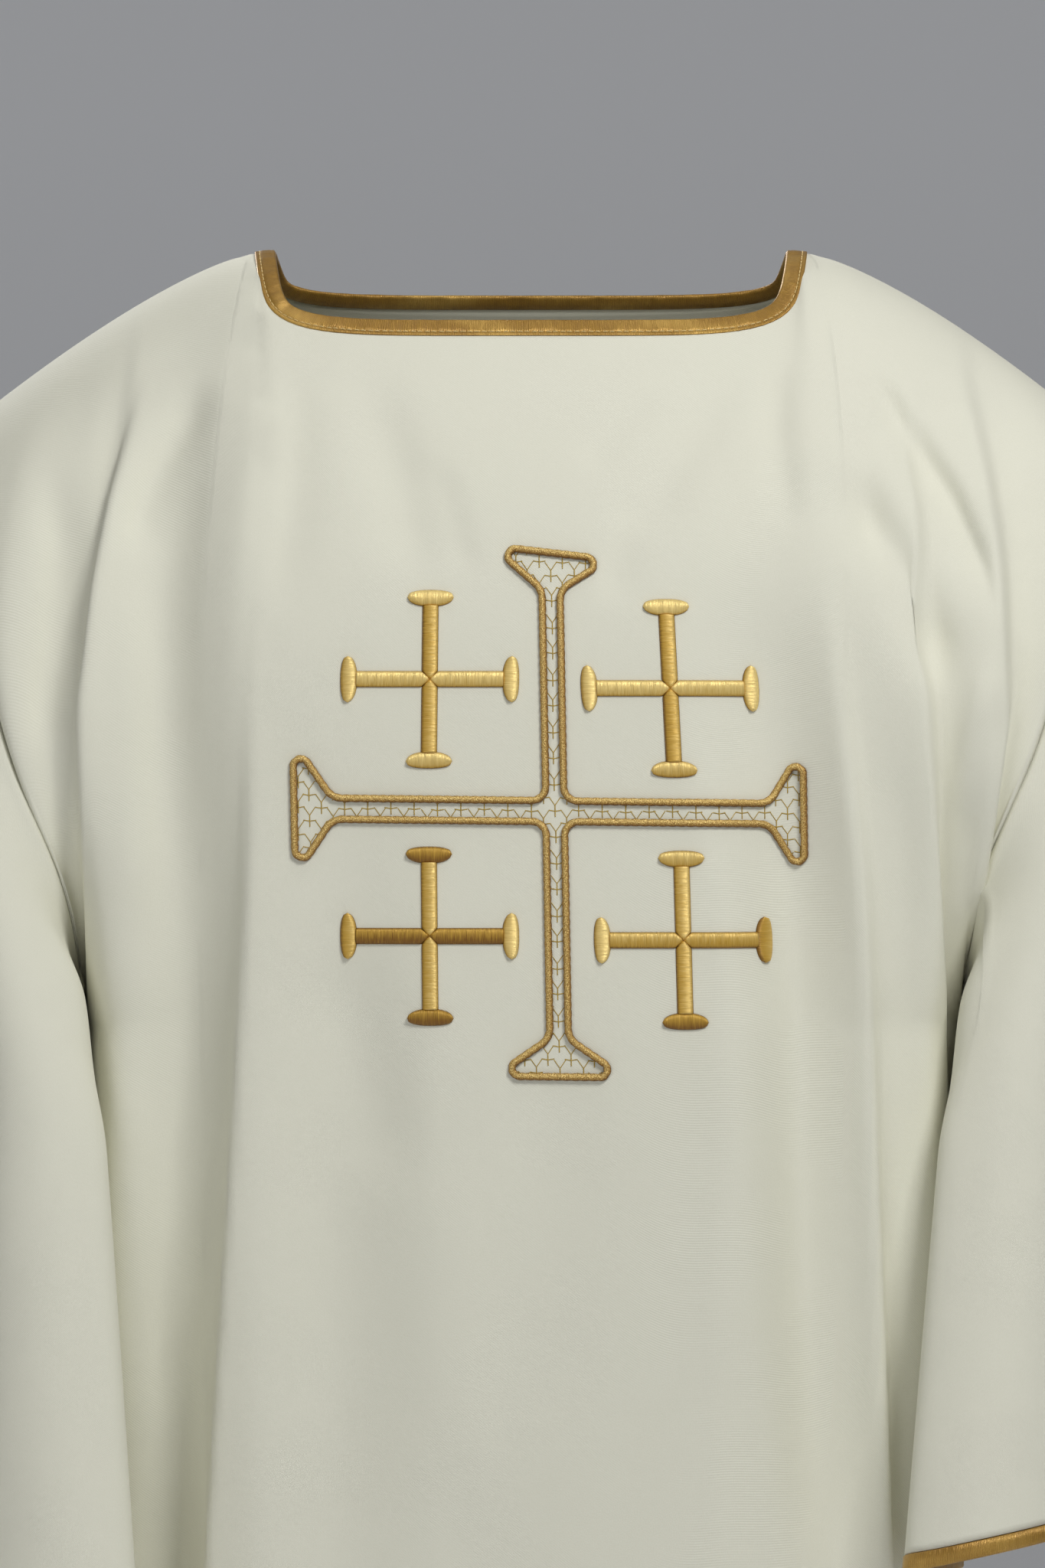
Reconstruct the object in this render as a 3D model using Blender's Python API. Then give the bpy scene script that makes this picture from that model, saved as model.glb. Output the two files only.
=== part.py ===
"""A dalmatic: a wide church tunic with open sleeves, in the hollow form that it has when it is worn.

Sizes are in millimetres, with x to the viewer's right, y from the front to the back and z up. The zero point
lies midway between the two neck points, on the line along which the shoulders carry the garment. The meshes
are written in metres.
"""

from collections import namedtuple

import bmesh
import bpy
import numpy as np

MM = 0.001
GAP = 0.3
CLOTH = 1.4

# Neck and shoulders, as seen from the front
NECK_HALF = 129.0
NECK_DROP = {"front": 42.0, "back": 24.0}
NECK_SQUARENESS = 5.5
NECK_SLANT = 0.06
NECK_SHARE = 0.44
SHOULDER_HALF = 258.0
SHOULDER_FALL = 0.108
SHOULDER_BEND = 1.35
SHOULDER_ROUNDING = 200.0

# Armholes, underarm and hem, in millimetres, and as shares of the way down to the underarm or out to the
# side seam: where the shoulder's round ends, where the threads hang straight, and where folds fade out
UNDERARM = -362.0
HEM = -1185.0
CREST_ROWS = 0.25
SETTLED_SHARE = 0.9
SEAM_CALM = 0.86
SLEEVE_CALM = 0.8
ARMHOLE_HALF_DEPTH = 110.0
ARMHOLE_BOTTOM = 112.0
AXIS_SHIFT = -4.0
AXIS_SHIFT_FALL = 250.0

# Each panel from the shoulders to the hem: half its width at the seams, and how far it stands off the middle
Section = namedtuple("Section", "height half_width front back squareness")
SECTIONS = [
    Section(0, 262, 112, 98, 2.4),
    Section(-82, 258, 120, 108, 2.4),
    Section(-200, 236, 130, 120, 3.0),
    Section(-300, 208, 135, 122, 4.0),
    Section(-362, 202, 137, 121, 4.6),
    Section(-450, 200, 139, 120, 4.8),
    Section(-600, 198, 143, 122, 4.2),
    Section(-900, 226, 160, 146, 3.0),
    Section(-1185, 264, 182, 178, 2.6),
]

# Folds. Each is a trough beside a line down the panel. The line is given by its distance from the middle at
# five heights, facing says on which side of it the trough lies, edge is half the width of the steep flank
# and reach how far the trough's gentle flank runs.
Fold = namedtuple("Fold", "name facing line depth edge reach")
FOLD_HEIGHTS = (-60, -170, -300, -600, -1185)
FOLDS = {
    "front": [
        Fold("centre pleat, left", -1, (-112, -121, -128, -141, -172), (0, 9, 25, 30, 42), 10, 62),
        Fold("centre pleat, right", 1, (135, 143, 161, 175, 214), (0, 5, 13, 19, 34), 10, 44),
        Fold("valley in the centre pleat", 1, (95, 108, 116, 102, 118), (0, 0, 6, 9, 16), 18, 46),
        Fold("middle of the skirt", 1, (-62, -62, -62, -58, -52), (0, 0, 0, 5, 22), 28, 92),
        Fold("left shoulder crease", -1, (-186, -206, -200, -199, -250), (5, 12, 10, 0, 26), 9, 46),
        Fold("right shoulder crease", 1, (205, 226, 214, 210, 262), (3, 9, 8, 0, 20), 9, 34),
        Fold("right chest crease", 1, (178, 186, 196, 200, 240), (0, 5, 10, 0, 0), 9, 34),
    ],
    "back": [
        Fold("left pleat", -1, (-96, -104, -112, -130, -160), (0, 8, 18, 26, 40), 11, 60),
        Fold("right pleat", 1, (88, 100, 112, 136, 172), (0, 6, 16, 24, 38), 11, 58),
        Fold("middle of the back", 1, (-34, -36, -38, -40, -46), (0, 0, 5, 12, 28), 22, 88),
        Fold("left side crease", -1, (-180, -196, -196, -196, -248), (0, 9, 14, 6, 26), 10, 44),
        Fold("right side crease", 1, (182, 200, 198, 196, 250), (0, 8, 13, 6, 24), 10, 42),
    ],
}

# Two rings round a sleeve, at the elbow and at its hem: distance from the garment's middle, place from front
# to back, and height
RingPoint = namedtuple("RingPoint", "place out back height")
ELBOW = [
    RingPoint("outside", 312, -6, -372),
    RingPoint("outside front", 296, -84, -380),
    RingPoint("front", 250, -121, -400),
    RingPoint("inside front", 198, -122, -424),
    RingPoint("inside", 205, -50, -452),
    RingPoint("inside back", 205, 42, -452),
    RingPoint("back", 250, 98, -420),
    RingPoint("outside back", 296, 64, -386),
]
CUFF = [
    RingPoint("outside", 316, -22, -572),
    RingPoint("outside front", 298, -108, -574),
    RingPoint("front", 246, -148, -586),
    RingPoint("inside front", 181, -151, -603),
    RingPoint("inside", 204, -62, -608),
    RingPoint("inside back", 205, 40, -607),
    RingPoint("back", 246, 96, -596),
    RingPoint("outside back", 298, 56, -580),
]
Sleeve = namedtuple("Sleeve", "name side cuff_drop")
SLEEVES = [Sleeve("right", -1, 44.0), Sleeve("left", 1, 0.0)]
# The direction in which the sleeve leaves the armhole's front, from the shoulder down to the underarm
SetIn = namedtuple("SetIn", "down out forward up")
SET_IN = [
    SetIn(0.0, 0.77, 0.00, -0.64),
    SetIn(0.3, 0.86, 0.08, -0.50),
    SetIn(0.6, 0.74, 0.34, -0.58),
    SetIn(0.85, 0.46, 0.60, -0.66),
    SetIn(1.0, 0.36, 0.00, -0.93),
]
SEAM_ROOM = 0.4
SHARPEST_BEND = 9.0
UNDERARM_ROOM = 2.6
UNDERARM_FROM = 0.55
UNDERARM_FULL = 0.85
SLEEVE_START_PULL = 0.8
ELBOW_SHARE = 0.5

# Folds along a sleeve: the trough's middle as a share of the way round from the shoulder over the front,
# at the armhole and at the cuff, then its depth and half its width as a share of the way round
SleeveFold = namedtuple("SleeveFold", "name at_top at_cuff depth half_width")
SLEEVE_FOLDS = [
    SleeveFold("front trough", 0.30, 0.31, 13, 0.060),
    SleeveFold("outer front trough", 0.14, 0.16, 7, 0.050),
    SleeveFold("back trough", 0.72, 0.70, 12, 0.060),
    SleeveFold("outer back trough", 0.86, 0.85, 8, 0.050),
]

BINDING_WIDTH = 8.0
BINDING_WALL = 2.2

# The embroidery on the front, seen from the front. tilt is how much higher an end's far corner stands than
# its middle, and lean how far a cross's upright leans to the left for each millimetre up.
CROSS_MIDDLE = (10.9, -263.5)
CROSS_LEAN = 0.018
CROSS_FALL = 0.012
CORD_WIDTH = 3.4
CORD_TOP = 1.7
STITCH_LIFT = 0.8
CORD_HEIGHT = 1.6
STITCH_HEIGHT = 1.0
CROSS_HALF_BAR = 4.0
CROSS_JUNCTION_ROUND = 6.5
CROSS_FLARE_ROUND = 9.0
CROSS_END_ROUND = 3.5
Arm = namedtuple("Arm", "name turns length half_end flare tilt")
ARMS = [
    Arm("up", 0, 118.4, 26.6, 17.0, -2.8),
    Arm("left", 1, 119.5, 30.6, 17.5, 0.0),
    Arm("down", 2, 121.4, 29.8, 17.5, 0.0),
    Arm("right", 3, 114.6, 30.4, 16.5, 0.0),
]
SmallCross = namedtuple("SmallCross", "name x z lean")
SMALL_CROSSES = [
    SmallCross("upper_left", -46.5, -203.0, -0.010),
    SmallCross("upper_right", 63.6, -207.2, 0.050),
    SmallCross("lower_left", -46.5, -320.6, 0.010),
    SmallCross("lower_right", 69.6, -322.5, 0.026),
]
# Half of a small cross's arm: distance from its middle and half width there
Breadth = namedtuple("Breadth", "distance half_width")
SMALL_ARM = [
    Breadth(3.7, 3.7),
    Breadth(14.0, 3.6),
    Breadth(24.0, 3.6),
    Breadth(33.0, 3.7),
    Breadth(33.6, 8.2),
    Breadth(36.0, 10.4),
    Breadth(38.6, 10.2),
    Breadth(40.6, 7.4),
]

# Mesh steps
PANEL_COLUMNS = {"front": 46, "back": 38}
NECK_COLUMNS = {"front": 11, "back": 9}
HIGH_ROWS = 12
LOW_ROWS = {"front": 13, "back": 11}
SLEEVE_ROWS = 9
CORD_STEP = 9.0

# Colour, roughness and metallic value
IVORY = ((0.80, 0.79, 0.66, 1.0), 0.85, 0.0)
SATIN_GOLD = ((0.50, 0.30, 0.07, 1.0), 0.35, 0.4)
THREAD_GOLD = ((0.58, 0.36, 0.08, 1.0), 0.40, 0.5)


def column(table, name):
    """One named column of a table, as an array."""
    return np.array([getattr(row, name) for row in table], float)


def smooth(share):
    """A soft step from 0 to 1 while the share runs from 0 to 1."""
    share = np.clip(share, 0, 1)
    return share * share * (3 - 2 * share)


def mix(first, second, share):
    return first + (second - first) * share


def unit(vectors):
    return vectors / np.linalg.norm(vectors, axis=-1, keepdims=True)


def glide(at, stations, values):
    """A smooth curve through the values at rising stations: one cubic a stretch, level where they turn."""
    stations, values = np.asarray(stations, float), np.asarray(values, float)
    step = np.diff(stations)
    rise = np.diff(values) / step
    inner = np.where(rise[1:] * rise[:-1] > 0, (rise[1:] + rise[:-1]) / 2, 0)
    slope = np.concatenate([rise[:1], inner, rise[-1:]])
    i = np.clip(np.searchsorted(stations, at) - 1, 0, len(step) - 1)
    t = np.clip((at - stations[i]) / step[i], 0, 1)
    start = (1 + 2 * t) * (1 - t) ** 2 * values[i] + t * (1 - t) ** 2 * step[i] * slope[i]
    return start + (3 - 2 * t) * t**2 * values[i + 1] - (1 - t) * t**2 * step[i] * slope[i + 1]


def section(height, name):
    """A named column of the sections at any height."""
    return glide(-height, -column(SECTIONS, "height"), column(SECTIONS, name))


def rounded(angle, squareness):
    """Across and forward shares of a squared oval, at an angle from straight ahead."""
    across, ahead = np.sin(angle), np.cos(angle)
    size = (across**squareness + ahead**squareness) ** (1 / squareness)
    return across / size, ahead / size


def quarter(share):
    """The rise of a quarter circle: 0 at share 0, upright there, and level at 1 from share 1 on."""
    return np.sqrt(1 - (1 - np.clip(share, 0, 1)) ** 2)


def shoulder_height(x):
    """The silhouette of the shoulders: level between the neck points, then falling ever faster."""
    return -SHOULDER_FALL * np.maximum(np.abs(x) - NECK_HALF, 0) ** SHOULDER_BEND


def top_edge(face, out):
    """Distance from the middle and height of the panel's top edge: the neckline, then the shoulder seam."""
    share = np.clip(out / NECK_SHARE, 0, 1)
    angle = np.pi / 2 * mix(share, smooth(share), 0.5)
    across, fall = rounded(angle, NECK_SQUARENESS)
    beyond = np.clip((out - NECK_SHARE) / (1 - NECK_SHARE), 0, 1)
    neck_x = NECK_HALF * across * (1 - NECK_SLANT * fall)
    x = np.where(out < NECK_SHARE, neck_x, mix(NECK_HALF, SHOULDER_HALF, beyond))
    return x, np.where(out < NECK_SHARE, -NECK_DROP[face] * fall, shoulder_height(x))


def fold_sink(face, girth, height, reach_of):
    """How far the folds draw the cloth in. girth is the way along the cloth from the middle, signed."""
    sink = 0
    levels = -np.array(FOLD_HEIGHTS, float)
    for fold in FOLDS[face]:
        beside = fold.facing * (girth - reach_of(glide(-height, levels, fold.line)))
        steep = smooth((beside + fold.edge) / (2 * fold.edge))
        gentle = 1 - smooth((beside - fold.edge) / (fold.reach - fold.edge))
        sink = sink + glide(-height, levels, fold.depth) * steep * gentle
    return sink


def panel(face, across, down):
    """The middle of a panel's cloth. across runs from -1 at one seam to 1 at the other, and down from 0 at
    the top edge over 1 at the underarm to 2 at the hem. Above the underarm a row of the panel is a flat,
    squared arc that ends at the armhole; below it the two panels' rows close to a squared oval."""
    ahead = -1 if face == "front" else 1
    side, out = np.sign(across), np.abs(across)
    high, low = np.clip(down, 0, 1), np.clip(down - 1, 0, 1)
    top_x, top_z = top_edge(face, out)
    shoulder_end = shoulder_height(SHOULDER_HALF)
    seam_z = mix(shoulder_end, UNDERARM, smooth(high))
    seam_z = mix(seam_z, HEM, low)
    fall = mix(high, high**2 * (2 - high), smooth(out / NECK_SHARE))
    fall = mix(fall, smooth(high), out**2)
    z = mix(mix(top_z, UNDERARM, fall), HEM, low)
    share, forward = rounded(np.pi / 2 * out, section(z, "squareness"))
    top_share = top_x / SHOULDER_HALF
    squareness = section(seam_z, "squareness")
    top_forward = np.maximum(1 - top_share**squareness, 0) ** (1 / squareness)
    settled = smooth(high / SETTLED_SHARE)
    width = section(seam_z, "half_width")
    x = mix(top_x, width * share, settled)
    forward = mix(top_forward, forward, settled)
    seam_y = ARMHOLE_HALF_DEPTH * quarter((shoulder_end - seam_z) / SHOULDER_ROUNDING)
    seam_y = seam_y * quarter((seam_z - UNDERARM) / ARMHOLE_BOTTOM)
    depth = section(z, face) * quarter((shoulder_height(x) - z) / SHOULDER_ROUNDING)
    y = seam_y + (depth - seam_y) * forward

    def reach_of(distance):
        """The way along the cloth to a place at this distance from the middle."""
        share_there = np.clip(np.abs(distance) / np.maximum(width, x), 0, 1)
        fall_there = 1 - (1 - share_there**squareness) ** (1 / squareness)
        return np.sign(distance) * (np.abs(distance) + (depth - seam_y) * fall_there)

    girth = side * (x + (depth - seam_y) * (1 - forward))
    sink = fold_sink(face, girth, z, reach_of)
    beside_seam = smooth((out - SEAM_CALM) / (1 - SEAM_CALM))
    below_armhole = smooth((down - SLEEVE_CALM) / (1 - SLEEVE_CALM))
    sink = sink * smooth(high / CREST_ROWS) * (1 - beside_seam * below_armhole)
    middle = AXIS_SHIFT * smooth(-z / AXIS_SHIFT_FALL)
    point = np.stack([side * x, ahead * y, z + 0 * x], -1)
    return point, sink, middle


def folded_panel(face, across, down):
    """The panel's middle with its folds drawn in along its normal, and the normal of the result."""
    point, sink, middle = panel(face, across, down)
    crest = crest_normals(face, point)
    point = point - outward(face, point) * sink[..., None]
    point[..., 0] += middle
    point[..., 1] += (-1 if face == "front" else 1) * GAP / 2
    return point, unit(mix(crest, outward(face, point), smooth(down / CREST_ROWS)[..., None]))


def crest_normals(face, point):
    """The unit normals near the top, where the cloth is a quarter round over the falling shoulder line."""
    x, z = point[..., 0], point[..., 2]
    share = np.clip((shoulder_height(x) - z) / SHOULDER_ROUNDING, 0, 1)
    shoulder_slope = (shoulder_height(x + 1) - shoulder_height(x - 1)) / 2
    steep = section(z, face) / SHOULDER_ROUNDING * (1 - share)
    forward = (-1 if face == "front" else 1) * quarter(share)
    return unit(np.stack([-steep * shoulder_slope, forward, steep], -1))


def outward(face, point):
    """The unit normals of a grid of points, rows down and columns across, away from the wearer."""
    down, across = np.gradient(point, axis=0), np.gradient(point, axis=1)
    normal = unit(np.cross(across, down))
    return -normal if face == "front" else normal


def panel_grid(face):
    """A panel's middle and normals on its mesh's rows and columns, with a column at each neck point."""
    inner = NECK_COLUMNS[face]
    outer = PANEL_COLUMNS[face] // 2 - inner
    half = np.concatenate([np.linspace(0, NECK_SHARE, inner + 1), np.linspace(NECK_SHARE, 1, outer + 1)[1:]])
    columns = np.concatenate([-half[:0:-1], half])
    rows = np.concatenate([np.linspace(0, 1, HIGH_ROWS + 1), np.linspace(1, 2, LOW_ROWS[face] + 1)[1:]])
    across, down = np.meshgrid(columns, rows)
    point, normal = folded_panel(face, across, down)
    return {"point": point, "normal": normal, "neck": (outer, outer + 2 * inner)}


def armhole(panels, side):
    """The armhole from the shoulder down its front and up its back: points and the panels' outward
    directions along the cloth there."""
    edge, before = (-1, -2) if side > 0 else (0, 1)
    front = slice(0, HIGH_ROWS + 1)
    back = slice(HIGH_ROWS - 1, 0, -1)
    points, leads = [], []
    for face, rows in (("front", front), ("back", back)):
        grid = panels[face]["point"]
        points.append(grid[rows, edge])
        leads.append(unit(grid[rows, edge] - grid[rows, before]))
    points, leads = np.concatenate(points), np.concatenate(leads)
    for shared in (0, HIGH_ROWS):
        points[shared] = (panels["front"]["point"][shared, edge] + panels["back"]["point"][shared, edge]) / 2
    return points, leads


def around(values, count):
    """A smooth closed curve through the values, with the given count of points, from the first on."""
    values = np.asarray(values, float)
    size = len(values)
    at = np.arange(count) * size / count
    i = at.astype(int)
    t = (at - i)[:, None]
    before, here, following, after = (values[(i + k) % size] for k in (-1, 0, 1, 2))
    return bridge(here, (following - before) / 2, following, (after - here) / 2, t)


def sleeve_grid(panels, sleeve):
    """A sleeve's middle and normals: rows from the armhole to the cuff, columns round from the shoulder
    over the front. Each column is a curve that leaves the armhole in the set-in direction and ends
    hanging straight down at the cuff; folds then draw it in."""
    side = sleeve.side
    start, leads = armhole(panels, side)
    count = len(start)
    turn = np.arange(count) / count
    from_top = 1 - np.abs(1 - 2 * turn)
    ahead = np.where(turn <= 0.5, -1, 1)
    downs = column(SET_IN, "down")
    out, forward, up = (glide(from_top, downs, column(SET_IN, way)) for way in ("out", "forward", "up"))
    lead = unit(np.stack([side * out, ahead * forward, up], -1))
    bend = np.sum(lead * leads, -1)
    clear = SEAM_ROOM + CLOTH / 2 * np.sqrt(np.clip((1 - bend) / (1 + bend), 0, SHARPEST_BEND))
    start = start + lead * clear[:, None]
    start[:, 0] += side * UNDERARM_ROOM * smooth((from_top - UNDERARM_FROM) / (UNDERARM_FULL - UNDERARM_FROM))
    elbow, end = (sleeve_ring(table, side, count) for table in (ELBOW, CUFF))
    end[:, 2] -= sleeve.cuff_drop
    through = (end - start) / 2
    pull = lead * np.linalg.norm(elbow - start, axis=-1)[:, None] * SLEEVE_START_PULL
    t = np.linspace(0, 1, SLEEVE_ROWS + 1)[:, None, None]
    upper = bridge(start, pull, elbow, through, np.clip(t / ELBOW_SHARE, 0, 1))
    lower = bridge(elbow, through, end, end - elbow, np.clip((t - ELBOW_SHARE) / (1 - ELBOW_SHARE), 0, 1))
    point = np.where(t < ELBOW_SHARE, upper, lower)
    point = point - sleeve_normals(point, side) * sleeve_sink(turn, t[..., 0])[..., None]
    return {"point": point, "normal": sleeve_normals(point, side)}


def sleeve_ring(table, side, count):
    """A ring round a sleeve from its table, as a smooth closed curve with the given count of points."""
    return around([(side * at.out + AXIS_SHIFT, at.back, at.height) for at in table], count)


def bridge(start, leaving, end, arriving, t):
    """A cubic from start to end with the given directions at both ends."""
    near = (1 + 2 * t) * (1 - t) ** 2 * start + t * (1 - t) ** 2 * leaving
    return near + (3 - 2 * t) * t**2 * end - (1 - t) * t**2 * arriving


def sleeve_sink(turn, along):
    """How far the sleeve's folds draw it in: rounded troughs that grow from the armhole to the cuff."""
    sink = 0
    for fold in SLEEVE_FOLDS:
        beside = (turn - mix(fold.at_top, fold.at_cuff, along)) / fold.half_width
        sink = sink + fold.depth * smooth(along / ELBOW_SHARE) * np.exp(-(beside**2))
    return sink


def sleeve_normals(point, side):
    """The unit normals of a closed tube of rows and columns, away from its inside."""
    down = np.gradient(point, axis=0)
    round_ = np.roll(point, -1, 1) - np.roll(point, 1, 1)
    return side * unit(np.cross(down, round_))


def new_object(name, points, faces, material):
    """An object from points in millimetres and faces, with its faces turned outwards."""
    mesh = bpy.data.meshes.new(name)
    mesh.from_pydata((points * MM).tolist(), [], faces)
    shape = bmesh.new()
    shape.from_mesh(mesh)
    bmesh.ops.recalc_face_normals(shape, faces=shape.faces)
    shape.to_mesh(mesh)
    shape.free()
    mesh.shade_smooth()
    mesh.materials.append(material)
    thing = bpy.data.objects.new(name, mesh)
    bpy.context.collection.objects.link(thing)
    return thing


def split(a, b, c, d):
    """A four-sided face as two triangles, split from its first corner."""
    return [(a, b, c), (a, c, d)]


def wall(name, grid, closed, material):
    """A wall of cloth about a grid of points; closed joins its last column to its first."""
    point, normal = grid["point"], grid["normal"]
    rows, columns = point.shape[:2]
    outer = point + normal * CLOTH / 2
    inner = point - normal * CLOTH / 2
    points = np.concatenate([outer.reshape(-1, 3), inner.reshape(-1, 3)])
    under = rows * columns

    def at(row, col):
        return row * columns + col % columns

    faces = []
    for row in range(rows - 1):
        for col in range(columns if closed else columns - 1):
            a, b = at(row, col), at(row, col + 1)
            c, d = at(row + 1, col + 1), at(row + 1, col)
            faces += split(a, b, c, d) + split(under + a, under + d, under + c, under + b)
    for row in (0, rows - 1):
        for col in range(columns if closed else columns - 1):
            a, b = at(row, col), at(row, col + 1)
            faces += split(a, b, under + b, under + a)
    if not closed:
        for col in (0, columns - 1):
            for row in range(rows - 1):
                a, b = at(row, col), at(row + 1, col)
                faces += split(a, b, under + b, under + a)
    return new_object(name, points, faces, material)


def ring(name, corners, material):
    """A closed ring of even section: corners is an array of stations round the ring by corners."""
    stations, count = corners.shape[:2]
    faces = []
    for station in range(stations):
        following = (station + 1) % stations
        for corner in range(count):
            beside = (corner + 1) % count
            a, b = station * count + corner, station * count + beside
            c, d = following * count + beside, following * count + corner
            faces += split(a, b, c, d)
    return new_object(name, corners.reshape(-1, 3), faces, material)


def binding(name, edge, inward, normal, material):
    """A bias tape that carries an edge on by its own width, a small gap away from it."""
    near = edge + inward * GAP
    far = edge + inward * (GAP + BINDING_WIDTH)
    half = normal * BINDING_WALL / 2
    return ring(name, np.stack([near + half, far + half, far - half, near - half], 1), material)


def neck_binding(panels, material):
    """The tape round the neck: along the front neckline and back along the rear one."""
    edges, normals = [], []
    for face in ("front", "back"):
        first, last = panels[face]["neck"]
        order = slice(first, last + 1) if face == "front" else slice(last - 1, first, -1)
        edges.append(panels[face]["point"][0, order])
        normals.append(panels[face]["normal"][0, order])
    edge, normal = np.concatenate(edges), np.concatenate(normals)
    front, back = panels["front"], panels["back"]
    for corner, hand in ((0, 0), (front["neck"][1] - front["neck"][0], 1)):
        at, back_at = front["neck"][hand], back["neck"][hand]
        edge[corner] = (front["point"][0, at] + back["point"][0, back_at]) / 2
        normal[corner] = unit(front["normal"][0, at] + back["normal"][0, back_at])
    along = np.roll(edge, -1, 0) - np.roll(edge, 1, 0)
    inward = unit(np.cross(normal, along))
    return binding("neck_binding", edge, inward, normal, material)


def cuff_binding(name, grid, material):
    """The tape round a sleeve's hem."""
    edge, normal = grid["point"][-1], grid["normal"][-1]
    downward = unit(edge - grid["point"][-2])
    return binding(name, edge, downward, normal, material)


def on_front(grid, places):
    """Points and normals on the front panel's outer face for places (x, z) seen from the front: each lies
    on the flat triangle of the panel's mesh that covers it."""
    outer = grid["point"] + grid["normal"] * CLOTH / 2
    a, b = outer[:-1, :-1].reshape(-1, 3), outer[:-1, 1:].reshape(-1, 3)
    c, d = outer[1:, 1:].reshape(-1, 3), outer[1:, :-1].reshape(-1, 3)
    corners = np.concatenate([np.stack([a, b, c], 1), np.stack([a, c, d], 1)])
    flat = corners[:, :, [0, 2]]
    origin, first, second = flat[:, 0], flat[:, 1] - flat[:, 0], flat[:, 2] - flat[:, 0]
    spread = first[:, 0] * second[:, 1] - first[:, 1] * second[:, 0]
    away = places[:, None] - origin[None]
    u = (away[..., 0] * second[:, 1] - away[..., 1] * second[:, 0]) / spread
    v = (first[:, 0] * away[..., 1] - first[:, 1] * away[..., 0]) / spread
    inside = np.minimum(np.minimum(u, v), 1 - u - v)
    best = inside.argmax(1)
    every = np.arange(len(places))
    u, v = u[every, best][:, None], v[every, best][:, None]
    tri = corners[best]
    face = unit(np.cross(tri[:, 1] - tri[:, 0], tri[:, 2] - tri[:, 0]))
    face = face * -np.sign(face[:, 1:2])
    return tri[:, 0] * (1 - u - v) + tri[:, 1] * u + tri[:, 2] * v, face


def place_on_cross(flat):
    """Places on the drawing of the crosses, moved to where the hanging cloth holds them."""
    x = flat[:, 0] + CROSS_LEAN * -flat[:, 1]
    z = flat[:, 1] - CROSS_FALL * flat[:, 0]
    return np.stack([x, z], -1) + np.array(CROSS_MIDDLE)


def round_corners(corners):
    """A closed outline from rows of x, z and corner radius: straight runs and arcs, as even short steps."""
    outline = []
    count = len(corners)
    for i in range(count):
        here = np.array(corners[i][:2])
        back = unit(np.array(corners[i - 1][:2]) - here)
        on = unit(np.array(corners[(i + 1) % count][:2]) - here)
        half = np.arccos(np.clip(back @ on, -1, 1)) / 2
        cut = corners[i][2] / np.tan(half)
        centre = here + unit(back + on) * corners[i][2] / np.sin(half)
        first, last = here + back * cut - centre, here + on * cut - centre
        for share in (0, 0.5, 1):
            outline.append(centre + unit(mix(first, last, share)) * corners[i][2])
    outline = np.array(outline)
    dense = []
    for first, second in zip(outline, np.roll(outline, -1, 0)):
        steps = max(1, int(np.ceil(np.linalg.norm(second - first) / CORD_STEP)))
        dense += [mix(first, second, step / steps) for step in range(steps)]
    return np.array(dense)


def large_cross_outline():
    """The outline of the large cross, counter-clockwise: four slim arms that flare to wide ends."""
    corners = []
    for arm in ARMS:
        half = [
            (CROSS_HALF_BAR, CROSS_HALF_BAR, CROSS_JUNCTION_ROUND),
            (CROSS_HALF_BAR, arm.length - arm.flare, CROSS_FLARE_ROUND),
            (arm.half_end, arm.length + arm.tilt, CROSS_END_ROUND),
        ]
        other_half = [
            (-arm.half_end, arm.length - arm.tilt, CROSS_END_ROUND),
            (-CROSS_HALF_BAR, arm.length - arm.flare, CROSS_FLARE_ROUND),
        ]
        cos, sin = round(np.cos(arm.turns * np.pi / 2)), round(np.sin(arm.turns * np.pi / 2))
        corners += [(x * cos - z * sin, x * sin + z * cos, radius) for x, z, radius in half + other_half]
    return corners


def large_cross(panels, material):
    """The gold cord that outlines the large cross, with a flat back and a narrower top."""
    path = round_corners(large_cross_outline())
    ahead = unit(np.roll(path, -1, 0) - np.roll(path, 1, 0))
    beside = np.stack([-ahead[:, 1], ahead[:, 0]], -1)
    corners = []
    for offset, lift in (
        (-CORD_WIDTH / 2, STITCH_LIFT),
        (-CORD_TOP / 2, STITCH_LIFT + CORD_HEIGHT),
        (CORD_TOP / 2, STITCH_LIFT + CORD_HEIGHT),
        (CORD_WIDTH / 2, STITCH_LIFT),
    ):
        point, normal = on_front(panels["front"], place_on_cross(path + beside * offset))
        corners.append(point + normal * lift)
    return ring("large_cross_cord", np.stack(corners, 1), material)


def small_cross_flat():
    """A small cross laid flat: its points and four-sided faces, a square middle and four arms."""
    points, faces = [], []
    for turns in range(4):
        along = np.array([(0, 1), (-1, 0), (0, -1), (1, 0)][turns])
        beside = np.array([along[1], -along[0]])
        for at in SMALL_ARM:
            points += [along * at.distance + hand * beside * at.half_width for hand in (-1, 1)]
        start = turns * len(SMALL_ARM) * 2
        for pair in range(start, start + 2 * len(SMALL_ARM) - 2, 2):
            faces.append((pair, pair + 1, pair + 3, pair + 2))
    shared, index = np.unique(np.round(points, 3), axis=0, return_inverse=True)
    index = index.ravel()
    faces = [tuple(int(index[corner]) for corner in face) for face in faces]
    arm = len(SMALL_ARM) * 2
    faces.append(tuple(int(index[turns * arm]) for turns in range(4)))
    return shared, faces


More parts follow.
